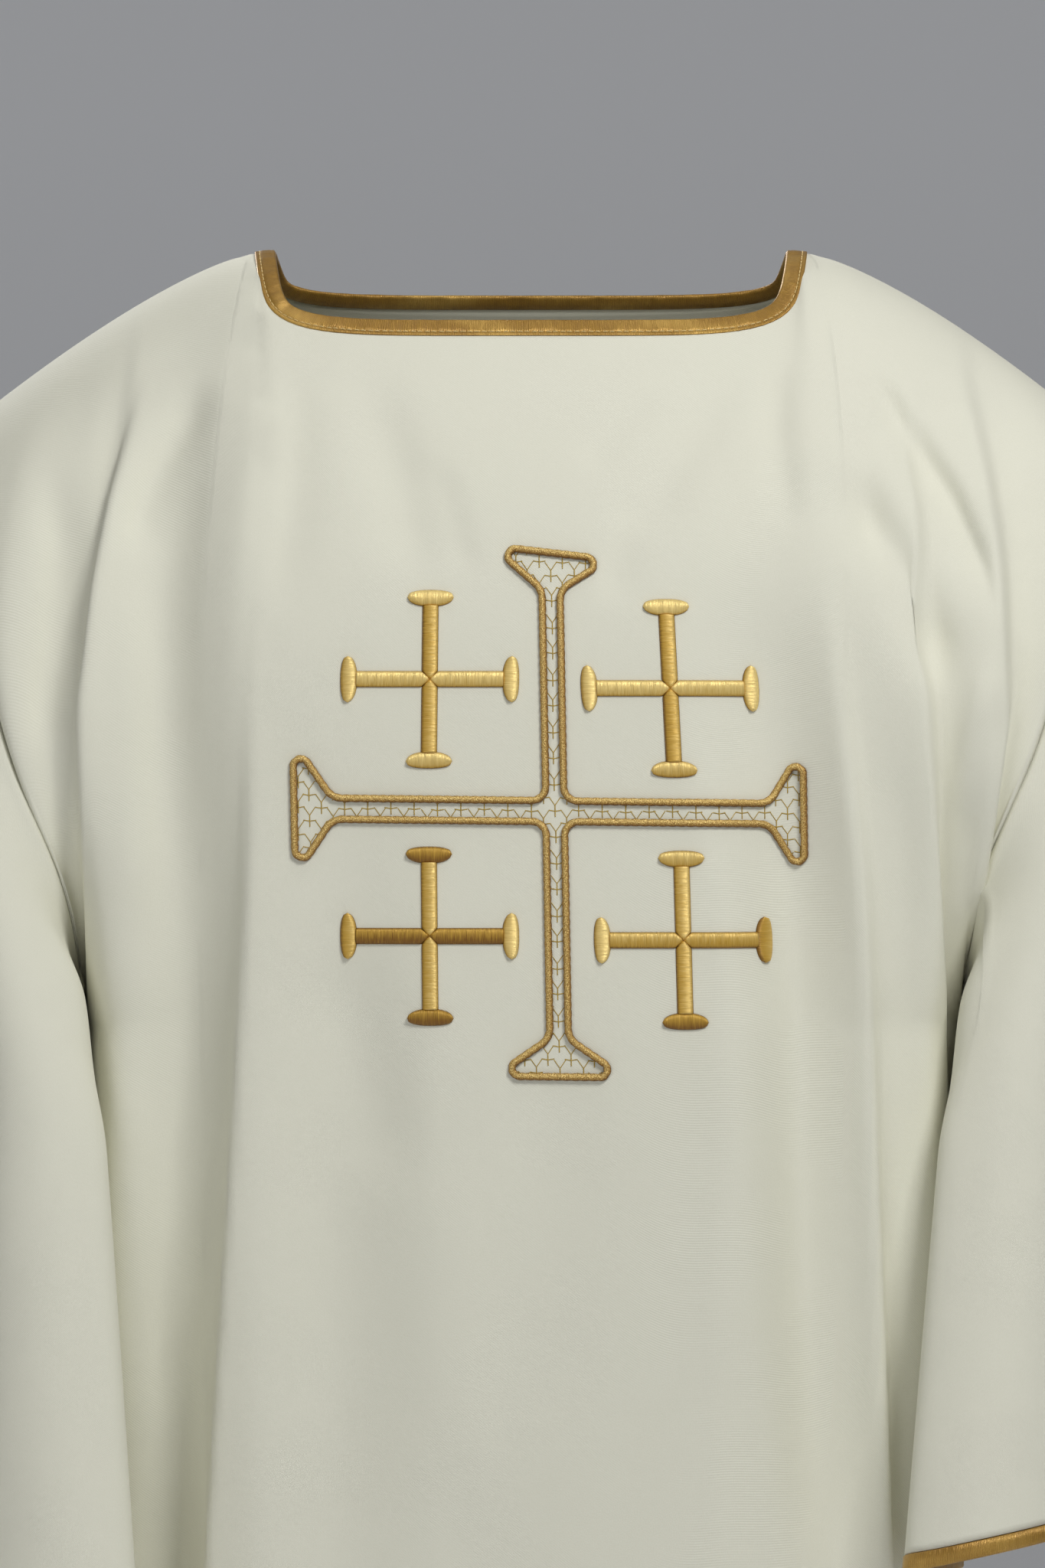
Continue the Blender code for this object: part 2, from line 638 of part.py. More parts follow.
def small_cross(cross, panels, material):
    """One small cross of raised stitch on the front panel, with a flat back and an even height."""
    flat, top = small_cross_flat()
    leaning = np.stack([flat[:, 0] - cross.lean * flat[:, 1], flat[:, 1]], -1)
    point, normal = on_front(panels["front"], leaning + np.array([cross.x, cross.z]))
    count = len(flat)
    points = np.concatenate([point + normal * (STITCH_LIFT + STITCH_HEIGHT), point + normal * STITCH_LIFT])
    sides = [(face[i], face[(i + 1) % 4]) for face in top for i in range(4)]
    faces = []
    for face in top:
        faces += split(*face) + split(*[corner + count for corner in face[::-1]])
    for one, two in sides:
        if (two, one) not in sides:
            faces += split(one, two, two + count, one + count)
    return new_object("small_cross_" + cross.name, points, faces, material)


def finish(name, look):
    """A plain material from a colour, a roughness and a metallic value."""
    colour, roughness, metallic = look
    material = bpy.data.materials.new(name)
    material.use_nodes = True
    shader = material.node_tree.nodes["Principled BSDF"]
    shader.inputs["Base Color"].default_value = colour
    shader.inputs["Roughness"].default_value = roughness
    shader.inputs["Metallic"].default_value = metallic
    return material


def main():
    for thing in list(bpy.data.objects):
        bpy.data.objects.remove(thing, do_unlink=True)
    panels = {face: panel_grid(face) for face in ("front", "back")}
    for face in panels:
        wall(face + "_panel", panels[face], False, finish(face + " cloth", IVORY))
    for sleeve in SLEEVES:
        grid = sleeve_grid(panels, sleeve)
        wall(sleeve.name + "_sleeve", grid, True, finish(sleeve.name + " sleeve cloth", IVORY))
        cuff_binding(sleeve.name + "_cuff_binding", grid, finish(sleeve.name + " cuff satin", SATIN_GOLD))
    neck_binding(panels, finish("neck satin", SATIN_GOLD))
    large_cross(panels, finish("gold cord", THREAD_GOLD))
    for cross in SMALL_CROSSES:
        small_cross(cross, panels, finish(cross.name + " gold stitch", THREAD_GOLD))


main()
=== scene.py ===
"""The looks of a dalmatic: ivory twill with a gold satin binding and a gold embroidered cross.

Lengths are in millimetres, with x to the viewer's right, y from the front to the back and z up from the neck
points. The meshes are written in metres. Each cloth is a thin shell on the same form as its solid, on a finer
grid and with its creases.
"""

from collections import namedtuple

import bmesh
import bpy
import numpy as np
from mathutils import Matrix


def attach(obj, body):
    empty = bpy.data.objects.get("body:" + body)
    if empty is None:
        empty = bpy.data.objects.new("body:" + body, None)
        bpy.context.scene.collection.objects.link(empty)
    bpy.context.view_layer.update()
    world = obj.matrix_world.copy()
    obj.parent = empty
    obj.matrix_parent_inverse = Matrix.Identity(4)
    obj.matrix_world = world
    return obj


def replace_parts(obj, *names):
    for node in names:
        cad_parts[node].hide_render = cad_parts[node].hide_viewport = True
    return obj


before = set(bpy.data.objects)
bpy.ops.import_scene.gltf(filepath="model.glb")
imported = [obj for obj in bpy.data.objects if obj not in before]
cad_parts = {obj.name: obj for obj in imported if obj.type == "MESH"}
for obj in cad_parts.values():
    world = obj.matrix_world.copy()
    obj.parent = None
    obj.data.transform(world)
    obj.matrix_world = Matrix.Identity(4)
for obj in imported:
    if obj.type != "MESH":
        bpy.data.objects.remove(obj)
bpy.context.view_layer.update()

MM = 0.001
# The gap between the two panels' middles at the seams, a cloth's thickness, and the side that a panel lies on
GAP = 0.3
SHELL = 1.1
AHEAD = {"front": -1, "back": 1}

# The neck as seen from the front: half its width, its depth, how square it is, how far its sides slant inwards,
# the share of the way from the middle to the seam that it takes, and how its columns are spread
NECK_HALF = 129.0
NECK_DROP = {"front": 42.0, "back": 24.0}
NECK_SQUARENESS = 5.5
NECK_SLANT = 0.06
NECK_SHARE = 0.44
NECK_COLUMN_SPREAD = 0.5
# The shoulders: half the width of a panel's top edge, the silhouette's fall as a factor and a power of the way
# from the neck point, and the height over which the cloth rounds over
SHOULDER_HALF = 258.0
SHOULDER_FALL = 0.108
SHOULDER_BEND = 1.35
SHOULDER_ROUNDING = 200.0

# Heights, and the armhole's half depth from front to back with the height over which its bottom closes
UNDERARM = -362.0
HEM = -1185.0
ARMHOLE_HALF_DEPTH = 110.0
ARMHOLE_BOTTOM = 112.0
# Shares of the way down to the underarm: where the folds and creases are full, where the rows have taken the
# form of the sections, and from where on the folds die out beside the seam
CREST_ROWS = 0.25
SETTLED_SHARE = 0.9
SLEEVE_CALM = 0.8
# The share of the way out from which folds and creases die out towards the seam
SEAM_CALM = 0.86
# How far from the neck points, as a share, and how many times the rows are smoothed below them
NECK_EASE_REACH = 0.05
NECK_EASE_STEPS = 50
# How far the body hangs to the viewer's left, and the height over which it gets there
AXIS_SHIFT = -4.0
AXIS_SHIFT_FALL = 250.0

# Each panel from the shoulders to the hem: half its width at the seams, and how far it stands off the middle
Section = namedtuple("Section", "height half_width front back squareness")
SECTIONS = [
    Section(0, 262, 112, 98, 2.4),
    Section(-82, 258, 120, 108, 2.4),
    Section(-200, 236, 130, 120, 3.0),
    Section(-300, 208, 135, 122, 4.0),
    Section(-362, 204, 137, 121, 4.6),
    Section(-450, 202.5, 139, 120, 4.8),
    Section(-600, 200, 143, 122, 4.2),
    Section(-900, 226, 160, 146, 3.0),
    Section(-1185, 264, 182, 178, 2.6),
]

# The heights at which the folds' tables give a line's distance from the middle and a depth, and the lines
# that a fold and a pleat edge share
FOLD_HEIGHTS = (-60, -140, -200, -300, -420, -600, -1185)
FRONT_LEFT = (-112, -119, -124, -129, -136, -148, -176)
FRONT_RIGHT = (135, 140, 147, 161, 167, 175, 214)
LEFT_SHOULDER = (-186, -200, -206, -203, -201, -201, -250)
BACK_LEFT = (-96, -102, -106, -112, -119, -130, -160)
BACK_RIGHT = (88, 97, 103, 112, 121, 136, 172)

# Folds: troughs beside a line down the panel, steep over the edge at the line and gentle out to the reach
Fold = namedtuple("Fold", "name facing line depth edge reach")
FOLDS = {
    "front": [
        Fold("centre pleat, left", -1, FRONT_LEFT, (0, 0, 0, 5, 8, 10, 30), 3.6, 92),
        Fold("chest hollow", -1, (-142, -148, -151, -153, -159, -169, -200), (4, 14, 13, 4, 0, 0, 0), 21, 62),
        Fold("centre pleat, right", 1, FRONT_RIGHT, (0, 0, 5, 9, 11, 14, 34), 6, 46),
        Fold("centre valley", 1, (84, 93, 99, 108, 106, 104, 112), (0, 2, 3, 5, 6, 8, 22), 20, 56),
        Fold("left of the middle", -1, (-52, -54, -56, -60, -62, -60, -60), (0, 0, 0, 4, 9, 8, 0), 24, 70),
        Fold("skirt middle", 1, (-62, -62, -62, -62, -60, -58, -52), (0, 0, 0, 0, 0, 3, 24), 28, 92),
        Fold("left shoulder", -1, LEFT_SHOULDER, (1, 3, 3, 2, 1, 2, 26), 4, 44),
        Fold("right shoulder", 1, (205, 221, 224, 214, 211, 210, 262), (3, 8, 9, 8, 4, 0, 20), 6, 34),
        Fold("right chest", 1, (178, 184, 188, 196, 198, 200, 240), (0, 6, 9, 12, 9, 5, 0), 5, 34),
    ],
    "back": [
        Fold("left pleat", -1, BACK_LEFT, (0, 6, 13, 22, 25, 28, 42), 4.5, 66),
        Fold("right pleat", 1, BACK_RIGHT, (0, 4, 11, 20, 24, 27, 40), 4.5, 62),
        Fold("middle of the back", 1, (-34, -35, -36, -38, -39, -40, -46), (0, 0, 2, 7, 11, 15, 30), 20, 88),
        Fold("left side", -1, (-180, -192, -196, -196, -196, -196, -248), (0, 8, 11, 14, 11, 6, 26), 6, 44),
        Fold("right side", 1, (182, 195, 200, 198, 197, 196, 250), (0, 7, 10, 13, 10, 6, 24), 6, 42),
    ],
}

# Pleat edges: on one side of a line the cloth falls away, steepest at the line, and comes back further on
PleatEdge = namedtuple("PleatEdge", "name facing line depth width reach")
PLEAT_EDGES = {
    "front": [
        PleatEdge("left pleat", -1, FRONT_LEFT, (0, 0, 5, 12, 15, 17, 12), 36, 86),
        PleatEdge("right pleat", -1, FRONT_RIGHT, (0, 0, 7, 15, 19, 20, 14), 38, 84),
        PleatEdge("left shoulder", -1, LEFT_SHOULDER, (1, 5, 7, 7, 5, 3, 0), 20, 46),
    ],
    "back": [
        PleatEdge("left pleat", -1, BACK_LEFT, (0, 2, 5, 8, 9, 10, 8), 34, 80),
        PleatEdge("right pleat", 1, BACK_RIGHT, (0, 2, 5, 8, 9, 10, 8), 34, 80),
    ],
}

# Fine creases: a soft trough, or with a negative depth a ridge, along a line of places (x, z), with its own
# softness on either hand, tapering over a share of its length at both ends
Crease = namedtuple("Crease", "route depth left right")
CREASES = {
    "front": [
        Crease([(-90, -42), (-74, -62), (-57, -114), (-44, -168)], 3.8, 16, 12),
        Crease([(-43, -98), (-34, -128), (-24, -160)], 1.6, 9, 6),
        Crease([(99, -50), (82, -80), (66, -106), (48, -140)], 3.4, 15, 12),
        Crease([(60, -70), (40, -88), (22, -106)], 1.6, 8, 8),
        Crease([(53, -112), (44, -140), (39, -172)], 1.7, 8, 9),
        Crease([(-112, -40), (-106, -80), (-108, -130), (-116, -176)], 2.4, 8, 12),
        Crease([(112, -44), (114, -84), (122, -140)], 2.2, 10, 8),
        Crease([(-86, -320), (-74, -370), (-57, -446)], 2.6, 16, 20),
        Crease([(6, -340), (14, -440), (2, -560)], 2.2, 22, 26),
        Crease([(92, -330), (98, -420), (88, -540)], -1.6, 14, 18),
        Crease([(-26, -410), (-32, -500), (-20, -600)], -1.6, 18, 14),
        Crease([(-181, -56), (-189, -86), (-197, -117), (-204, -160), (-208, -220)], 4.6, 12, 3.5),
        Crease([(-147, -60), (-162, -88), (-172, -106), (-178, -124), (-182, -150)], 3.6, 8, 9),
        Crease([(-182, -150), (-181, -230), (-178, -330)], -2.4, 9, 12),
        Crease([(-222, -96), (-216, -140), (-218, -196), (-226, -246)], 3.4, 8, 10),
        Crease([(148, -52), (168, -72), (180, -90), (196, -115), (211, -148), (217, -180)], 6.0, 15, 4),
        Crease([(140, -100), (158, -124), (176, -152), (188, -184), (190, -214)], 6.4, 14, 9),
        Crease([(148, -74), (158, -112), (160, -152)], 1.8, 8, 8),
        Crease([(214, -190), (206, -230), (200, -272)], -2.0, 6, 8),
        Crease([(172, -222), (178, -330), (182, -470)], 2.6, 9, 11),
        Crease([(-170, -330), (-172, -430), (-168, -560)], 2.4, 10, 14),
        Crease([(-96, -620), (-120, -800), (-128, -1000)], 2.8, 16, 20),
        Crease([(70, -640), (78, -820), (74, -1040)], 3.0, 18, 16),
        Crease([(150, -700), (170, -900), (178, -1120)], 2.6, 14, 18),
        Crease([(12, -760), (16, -920), (6, -1110)], -2.6, 20, 20),
    ],
    "back": [
        Crease([(-84, -34), (-70, -62), (-60, -116)], 2.4, 9, 8),
        Crease([(78, -34), (70, -70), (50, -122)], 2.2, 8, 9),
        Crease([(-14, -40), (-10, -84), (-16, -140)], 1.4, 12, 10),
        Crease([(-108, -60), (-118, -110), (-116, -176)], 2.8, 9, 11),
        Crease([(112, -56), (122, -120), (120, -190)], 2.8, 10, 9),
        Crease([(-150, -56), (-172, -96), (-186, -150), (-192, -196)], 5.0, 4, 12),
        Crease([(154, -58), (176, -100), (190, -156), (194, -190)], 5.0, 12, 4),
        Crease([(-138, -110), (-150, -170), (-146, -240)], 5.0, 16, 14),
        Crease([(140, -116), (152, -180), (150, -250)], 4.6, 14, 16),
        Crease([(-60, -300), (-66, -380), (-58, -500)], 2.6, 18, 16),
        Crease([(46, -280), (52, -390), (44, -520)], 2.4, 16, 20),
        Crease([(-150, -300), (-158, -420), (-156, -560)], 2.8, 12, 14),
        Crease([(152, -300), (160, -430), (160, -590)], 2.8, 14, 12),
        Crease([(-92, -640), (-100, -830), (-108, -1060)], 3.0, 18, 20),
        Crease([(84, -660), (96, -860), (100, -1090)], 2.8, 20, 18),
        Crease([(10, -700), (18, -880), (14, -1080)], -2.4, 20, 22),
    ],
}
CREASE_TAPER = 0.28

# Seams draw the cloth in beside them, and so does the row of stitches that holds the hem's turn-up
SEAM_PINCH = 1.0
SEAM_PINCH_REACH = 4.0
HEM_TURN_UP = 28.0
HEM_STITCH_PITCH = 3.4
HEM_STITCH_LENGTH = 2.3
HEM_STITCH_HALF_WIDTH = 0.2
HEM_STITCH_HEIGHT = 0.14
HEM_STITCH_LIFT = 0.02
HEM_STITCH_ARCH = 0.16
HEM_PINCH = 0.6
HEM_PINCH_REACH = 6.0

# Two rings round a sleeve, at the elbow and at its hem: way out, way back and height of their points
RingPoint = namedtuple("RingPoint", "place out back height")
ELBOW = [
    RingPoint("outside", 312, -6, -372),
    RingPoint("outside front", 296, -84, -380),
    RingPoint("front", 250, -121, -400),
    RingPoint("inside front", 196, -122, -424),
    RingPoint("inside", 204.2, -50, -452),
    RingPoint("inside back", 204.2, 42, -452),
    RingPoint("back", 250, 98, -420),
    RingPoint("outside back", 296, 64, -386),
]
CUFF = [
    RingPoint("outside", 316, -22, -572),
    RingPoint("outside front", 298, -108, -574),
    RingPoint("front", 246, -148, -586),
    RingPoint("inside front", 181, -151, -603),
    RingPoint("inside", 204, -62, -608),
    RingPoint("inside back", 205, 40, -607),
    RingPoint("back", 246, 96, -596),
    RingPoint("outside back", 298, 56, -580),
]
Sleeve = namedtuple("Sleeve", "name side cuff_drop")
SLEEVES = [Sleeve("right", -1, 44.0), Sleeve("left", 1, 0.0)]
# The direction in which the sleeve leaves the armhole's front, from the shoulder down to the underarm
SetIn = namedtuple("SetIn", "down out forward up")
SET_IN = [
    SetIn(0.0, 0.77, 0.00, -0.64),
    SetIn(0.3, 0.86, 0.08, -0.50),
    SetIn(0.6, 0.74, 0.34, -0.58),
    SetIn(0.85, 0.26, 0.62, -0.74),
    SetIn(1.0, 0.05, 0.00, -1.0),
]
# The room between the panel's cloth and the sleeve's: at the seam, more where the cloth bends there, and more
# again towards the underarm
SEAM_ROOM = 0.1
SHARPEST_BEND = 9.0
UNDERARM_ROOM = 1.4
UNDERARM_FROM = 0.55
UNDERARM_FULL = 0.85
# How strongly a sleeve keeps the set-in direction, and the share of its rows that lies above the elbow
SLEEVE_START_PULL = 0.8
ELBOW_SHARE = 0.5
# The bulge that lays the sleeve's front over the body below the armhole: its middle and its spread as shares
# of the way round and of the way along, and how far it moves the cloth
DRAPE_TURN = 0.385
DRAPE_TURN_SPREAD = 0.042
DRAPE_ALONG = 0.17
DRAPE_ALONG_SPREAD = 0.17
DRAPE_IN = 8.0
DRAPE_FORWARD = 8.5

# Folds along a sleeve: the trough's middle as a share of the way round from the shoulder over the front,
# at the armhole and at the cuff, then its depth and half its width as a share of the way round
SleeveFold = namedtuple("SleeveFold", "name at_top at_cuff depth half_width")
SLEEVE_FOLDS = [
    SleeveFold("front trough", 0.30, 0.31, 13, 0.060),
    SleeveFold("outer front trough", 0.14, 0.16, 7, 0.050),
    SleeveFold("back trough", 0.72, 0.70, 12, 0.060),
    SleeveFold("outer back trough", 0.86, 0.85, 8, 0.050),
]
# Fine creases of a sleeve: along from and to, the share of the way round at both, depth and half width
SleeveCrease = namedtuple("SleeveCrease", "start end turn_start turn_end depth half_width")
SLEEVE_CREASES = [
    SleeveCrease(0.02, 0.52, 0.10, 0.15, 2.6, 0.014),
    SleeveCrease(0.05, 0.70, 0.20, 0.24, 3.0, 0.016),
    SleeveCrease(0.10, 0.95, 0.27, 0.25, -2.0, 0.014),
    SleeveCrease(0.30, 1.00, 0.36, 0.37, 3.2, 0.018),
    SleeveCrease(0.20, 0.80, 0.05, 0.08, 2.0, 0.018),
    SleeveCrease(0.45, 1.00, 0.18, 0.20, 2.6, 0.015),
    SleeveCrease(0.05, 0.60, 0.92, 0.88, 2.4, 0.016),
    SleeveCrease(0.10, 0.85, 0.80, 0.79, 2.8, 0.016),
    SleeveCrease(0.30, 1.00, 0.66, 0.64, 3.0, 0.018),
    SleeveCrease(0.15, 0.75, 0.75, 0.74, -2.0, 0.014),
    SleeveCrease(0.55, 1.00, 0.95, 0.97, 2.0, 0.018),
]

# The embroidery on the front, seen from the front: the large cross's middle, how far it leans and its level
# arms fall, and the radii of its corners
CROSS_MIDDLE = (10.9, -263.5)
CROSS_LEAN = 0.018
CROSS_FALL = 0.012
CROSS_JUNCTION_ROUND = 6.5
CROSS_FLARE_ROUND = 9.0
CROSS_END_ROUND = 3.5
CROSS_ARC_STEPS = 9
# Its arms, each a quarter turn on: length, half widths of the bar and the end, how long the end flares, and how
# far the end's edge is tilted
Arm = namedtuple("Arm", "name turns length half_bar half_end flare tilt")
ARMS = [
    Arm("up", 0, 118.4, 4.1, 26.6, 17.0, -2.8),
    Arm("left", 1, 119.5, 4.8, 30.6, 17.5, 0.0),
    Arm("down", 2, 121.4, 4.2, 29.8, 17.5, 0.0),
    Arm("right", 3, 114.6, 4.7, 30.4, 16.5, 0.0),
]
# Its cord: how thick, how far its middle and its sole lie off the cloth, the steps along it, the corners round
# it, the length of one turn of its strands and their number
CORD_RADIUS = 1.75
CORD_LIFT = 0.9
CORD_SOLE = 0.12
CORD_STEP = 0.55
CORD_CORNERS = 14
CORD_TWIST = 4.2
CORD_STRANDS = 2
# The cord's radius between its strands, and how far the strands stand out, as shares of CORD_RADIUS
CORD_WAIST = 0.9
CORD_STRAND = 0.13
# The cord's painted light and shade: painted shade on its flanks, then a painted highlight on its crown and
# painted light on the side that faces the light, which is given as shares of x and z
CORD_PAINTED_FLANK_SHADE = 0.1
CORD_PAINTED_CROWN_HIGHLIGHT = 0.75
CORD_PAINTED_SIDE_LIGHT = 0.4
CORD_PAINTED_LIGHT_SIDE = (-0.5, 0.85)
# The small crosses: their middle, how far they lean, and how lit each bar and pad is painted, as painted light
# and shade: up, left, down, right
SmallCross = namedtuple("SmallCross", "name x z lean bars pads")
SMALL_CROSSES = [
    SmallCross("upper_left", -46.5, -203.0, -0.010, (0.50, 0.78, 0.52, 0.80), (0.86, 0.76, 0.80, 0.84)),
    SmallCross("upper_right", 63.6, -207.2, 0.050, (0.52, 0.84, 0.44, 0.82), (0.95, 0.86, 0.70, 0.92)),
    SmallCross("lower_left", -46.5, -320.6, 0.010, (0.58, 0.14, 0.58, 0.16), (0.18, 0.48, 0.12, 0.82)),
    SmallCross("lower_right", 69.6, -322.5, 0.026, (0.62, 0.55, 0.55, 0.50), (0.70, 0.86, 0.22, 0.45)),
]

# Columns of a panel's mesh and those on half its neckline, its rows above and below the underarm, and a
# sleeve's rows
PANEL_COLUMNS = {"front": 206, "back": 180}
NECK_COLUMNS = {"front": 46, "back": 40}
HIGH_ROWS = 96
LOW_ROWS = {"front": 124, "back": 120}
SLEEVE_ROWS = 110


def column(table, name):
    """One named column of a table, as an array."""
    return np.array([getattr(row, name) for row in table], float)


def smooth(share):
    """A soft step from 0 to 1 while the share runs from 0 to 1."""
    share = np.clip(share, 0, 1)
    return share * share * (3 - 2 * share)


def mix(first, second, share):
    """From the first value to the second in a straight line, as the share goes from 0 to 1."""
    return first + (second - first) * share


def unit(vectors):
    """Directions of length one."""
    return vectors / np.maximum(np.linalg.norm(vectors, axis=-1, keepdims=True), 1e-12)


def glide(at, stations, values):
    """A smooth curve through the values at rising stations: one cubic a stretch, level where they turn."""
    stations, values = np.asarray(stations, float), np.asarray(values, float)
    step = np.diff(stations)
    rise = np.diff(values) / step
    inner = np.where(rise[1:] * rise[:-1] > 0, (rise[1:] + rise[:-1]) / 2, 0)
    slope = np.concatenate([rise[:1], inner, rise[-1:]])
    i = np.clip(np.searchsorted(stations, at) - 1, 0, len(step) - 1)
    t = np.clip((at - stations[i]) / step[i], 0, 1)
    start = (1 + 2 * t) * (1 - t) ** 2 * values[i] + t * (1 - t) ** 2 * step[i] * slope[i]
    return start + (3 - 2 * t) * t**2 * values[i + 1] - (1 - t) * t**2 * step[i] * slope[i + 1]


def section(height, name):
    """A named column of the sections at any height."""
    return glide(-height, -column(SECTIONS, "height"), column(SECTIONS, name))


def rounded(angle, squareness):
    """Across and forward shares of a squared oval, at an angle from straight ahead."""
    across, ahead = np.sin(angle), np.cos(angle)
    size = (across**squareness + ahead**squareness) ** (1 / squareness)
    return across / size, ahead / size


def quarter(share):
    """The rise of a quarter circle: 0 at share 0, upright there, and level at 1 from share 1 on."""
    return np.sqrt(1 - (1 - np.clip(share, 0, 1)) ** 2)


def shoulder_height(x):
    """The silhouette of the shoulders: level between the neck points, then falling ever faster."""
    return -SHOULDER_FALL * np.maximum(np.abs(x) - NECK_HALF, 0) ** SHOULDER_BEND


def top_edge(face, out):
    """Distance from the middle and height of the panel's top edge: the neckline, then the shoulder seam."""
    share = np.clip(out / NECK_SHARE, 0, 1)
    angle = np.pi / 2 * mix(share, smooth(share), NECK_COLUMN_SPREAD)
    across, fall = rounded(angle, NECK_SQUARENESS)
    beyond = np.clip((out - NECK_SHARE) / (1 - NECK_SHARE), 0, 1)
    neck_x = NECK_HALF * across * (1 - NECK_SLANT * fall)
    x = np.where(out < NECK_SHARE, neck_x, mix(NECK_HALF, SHOULDER_HALF, beyond))
    return x, np.where(out < NECK_SHARE, -NECK_DROP[face] * fall, shoulder_height(x))


def fold_sink(face, girth, height, reach_of):
    """How far the folds draw the cloth in. girth is the way along the cloth from the middle, signed."""
    sink = 0
    levels = -np.array(FOLD_HEIGHTS, float)
    for fold in FOLDS[face]:
        beside = fold.facing * (girth - reach_of(glide(-height, levels, fold.line)))
        steep = smooth((beside + fold.edge) / (2 * fold.edge))
        gentle = 1 - smooth((beside - fold.edge) / (fold.reach - fold.edge))
        sink = sink + glide(-height, levels, fold.depth) * steep * gentle
    for pleat in PLEAT_EDGES[face]:
        beside = pleat.facing * (girth - reach_of(glide(-height, levels, pleat.line)))
        falling = 1 - (1 - np.clip(beside / pleat.width, 0, 1)) ** 2
        back = 1 - smooth((beside - pleat.width) / (pleat.reach - pleat.width))
        sink = sink + glide(-height, levels, pleat.depth) * falling * back
    return sink


def panel(face, across, down):
    """The middle of a panel's cloth. across runs from -1 at one seam to 1 at the other, and down from 0 at
    the top edge over 1 at the underarm to 2 at the hem. Above the underarm a row of the panel is a flat,
    squared arc that ends at the armhole; below it the two panels' rows close to a squared oval."""
    side, out = np.sign(across), np.abs(across)
    high, low = np.clip(down, 0, 1), np.clip(down - 1, 0, 1)
    top_x, top_z = top_edge(face, out)
    shoulder_end = shoulder_height(SHOULDER_HALF)
    seam_z = mix(shoulder_end, UNDERARM, smooth(high))
    seam_z = mix(seam_z, HEM, low)
    fall = mix(high, high**2 * (2 - high), smooth(out / NECK_SHARE))
    fall = mix(fall, smooth(high), out**2)
    z = mix(mix(top_z, UNDERARM, fall), HEM, low)
    share, forward = rounded(np.pi / 2 * out, section(z, "squareness"))
    top_share = top_x / SHOULDER_HALF
    squareness = section(seam_z, "squareness")
    top_forward = np.maximum(1 - top_share**squareness, 0) ** (1 / squareness)
    settled = smooth(high / SETTLED_SHARE)
    width = section(seam_z, "half_width")
    x = mix(top_x, width * share, settled)
    forward = mix(top_forward, forward, settled)
    seam_y = ARMHOLE_HALF_DEPTH * quarter((shoulder_end - seam_z) / SHOULDER_ROUNDING)
    seam_y = seam_y * quarter((seam_z - UNDERARM) / ARMHOLE_BOTTOM)
    depth = section(z, face) * quarter((shoulder_height(x) - z) / SHOULDER_ROUNDING)
    y = seam_y + (depth - seam_y) * forward

    def reach_of(distance):
        """The way along the cloth to a place at this distance from the middle."""
        share_there = np.clip(np.abs(distance) / np.maximum(width, x), 0, 1)
        fall_there = 1 - (1 - share_there**squareness) ** (1 / squareness)
        return np.sign(distance) * (np.abs(distance) + (depth - seam_y) * fall_there)

    girth = side * (x + (depth - seam_y) * (1 - forward))
    sink = fold_sink(face, girth, z, reach_of)
    beside_seam = smooth((out - SEAM_CALM) / (1 - SEAM_CALM))
    below_armhole = smooth((down - SLEEVE_CALM) / (1 - SLEEVE_CALM))
    sink = sink * smooth(high / CREST_ROWS) * (1 - beside_seam * below_armhole)
    middle = AXIS_SHIFT * smooth(-z / AXIS_SHIFT_FALL)
    point = np.stack([side * x, AHEAD[face] * y, z + 0 * x], -1)
    return point, sink, middle


def crest_normals(face, point):
    """The unit normals near the top, where the cloth is a quarter round over the falling shoulder line."""
    x, z = point[..., 0], point[..., 2]
    share = np.clip((shoulder_height(x) - z) / SHOULDER_ROUNDING, 0, 1)
    shoulder_slope = (shoulder_height(x + 1) - shoulder_height(x - 1)) / 2
    steep = section(z, face) / SHOULDER_ROUNDING * (1 - share)
    forward = AHEAD[face] * quarter(share)
    return unit(np.stack([-steep * shoulder_slope, forward, steep], -1))


def outward(face, point):
    """The unit normals of a grid of points, rows down and columns across, away from the wearer."""
    down, across = np.gradient(point, axis=0), np.gradient(point, axis=1)
    return AHEAD[face] * unit(np.cross(across, down))


def distance_to(route, x, z):
    """How far places lie from a line of straight runs, signed by the hand they lie on, and how far along it
    the nearest place is, as a share."""
    route = np.array(route, float)
    lengths = np.linalg.norm(np.diff(route, axis=0), axis=1)
    nearest = np.full(x.shape, np.inf)
    hand = np.zeros(x.shape)
    along = np.zeros(x.shape)
    walked = 0.0
    for start, end, length in zip(route[:-1], route[1:], lengths):
        way = (end - start) / length
        t = np.clip(((x - start[0]) * way[0] + (z - start[1]) * way[1]), 0, length)
        off_x, off_z = x - start[0] - way[0] * t, z - start[1] - way[1] * t
        away = np.hypot(off_x, off_z)
        closer = away < nearest
        nearest = np.where(closer, away, nearest)
        hand = np.where(closer, np.sign(way[0] * off_z - way[1] * off_x), hand)
        along = np.where(closer, (walked + t) / lengths.sum(), along)
        walked += length
    return nearest, hand, along


def crease_sink(face, point):
    """How far the fine creases draw a panel in: a bell across each route, tapering to both its ends."""
    x, z = point[..., 0], point[..., 2]
    sink = np.zeros(x.shape)
    for crease in CREASES[face]:
        away, hand, along = distance_to(crease.route, x, z)
        downwards = np.sign(crease.route[0][1] - crease.route[-1][1])
        softness = np.where(hand * downwards > 0, crease.right, crease.left)
        taper = smooth(along / CREASE_TAPER) * smooth((1 - along) / CREASE_TAPER)
        sink += crease.depth * np.exp(-((away / softness) ** 2)) * taper
    return sink


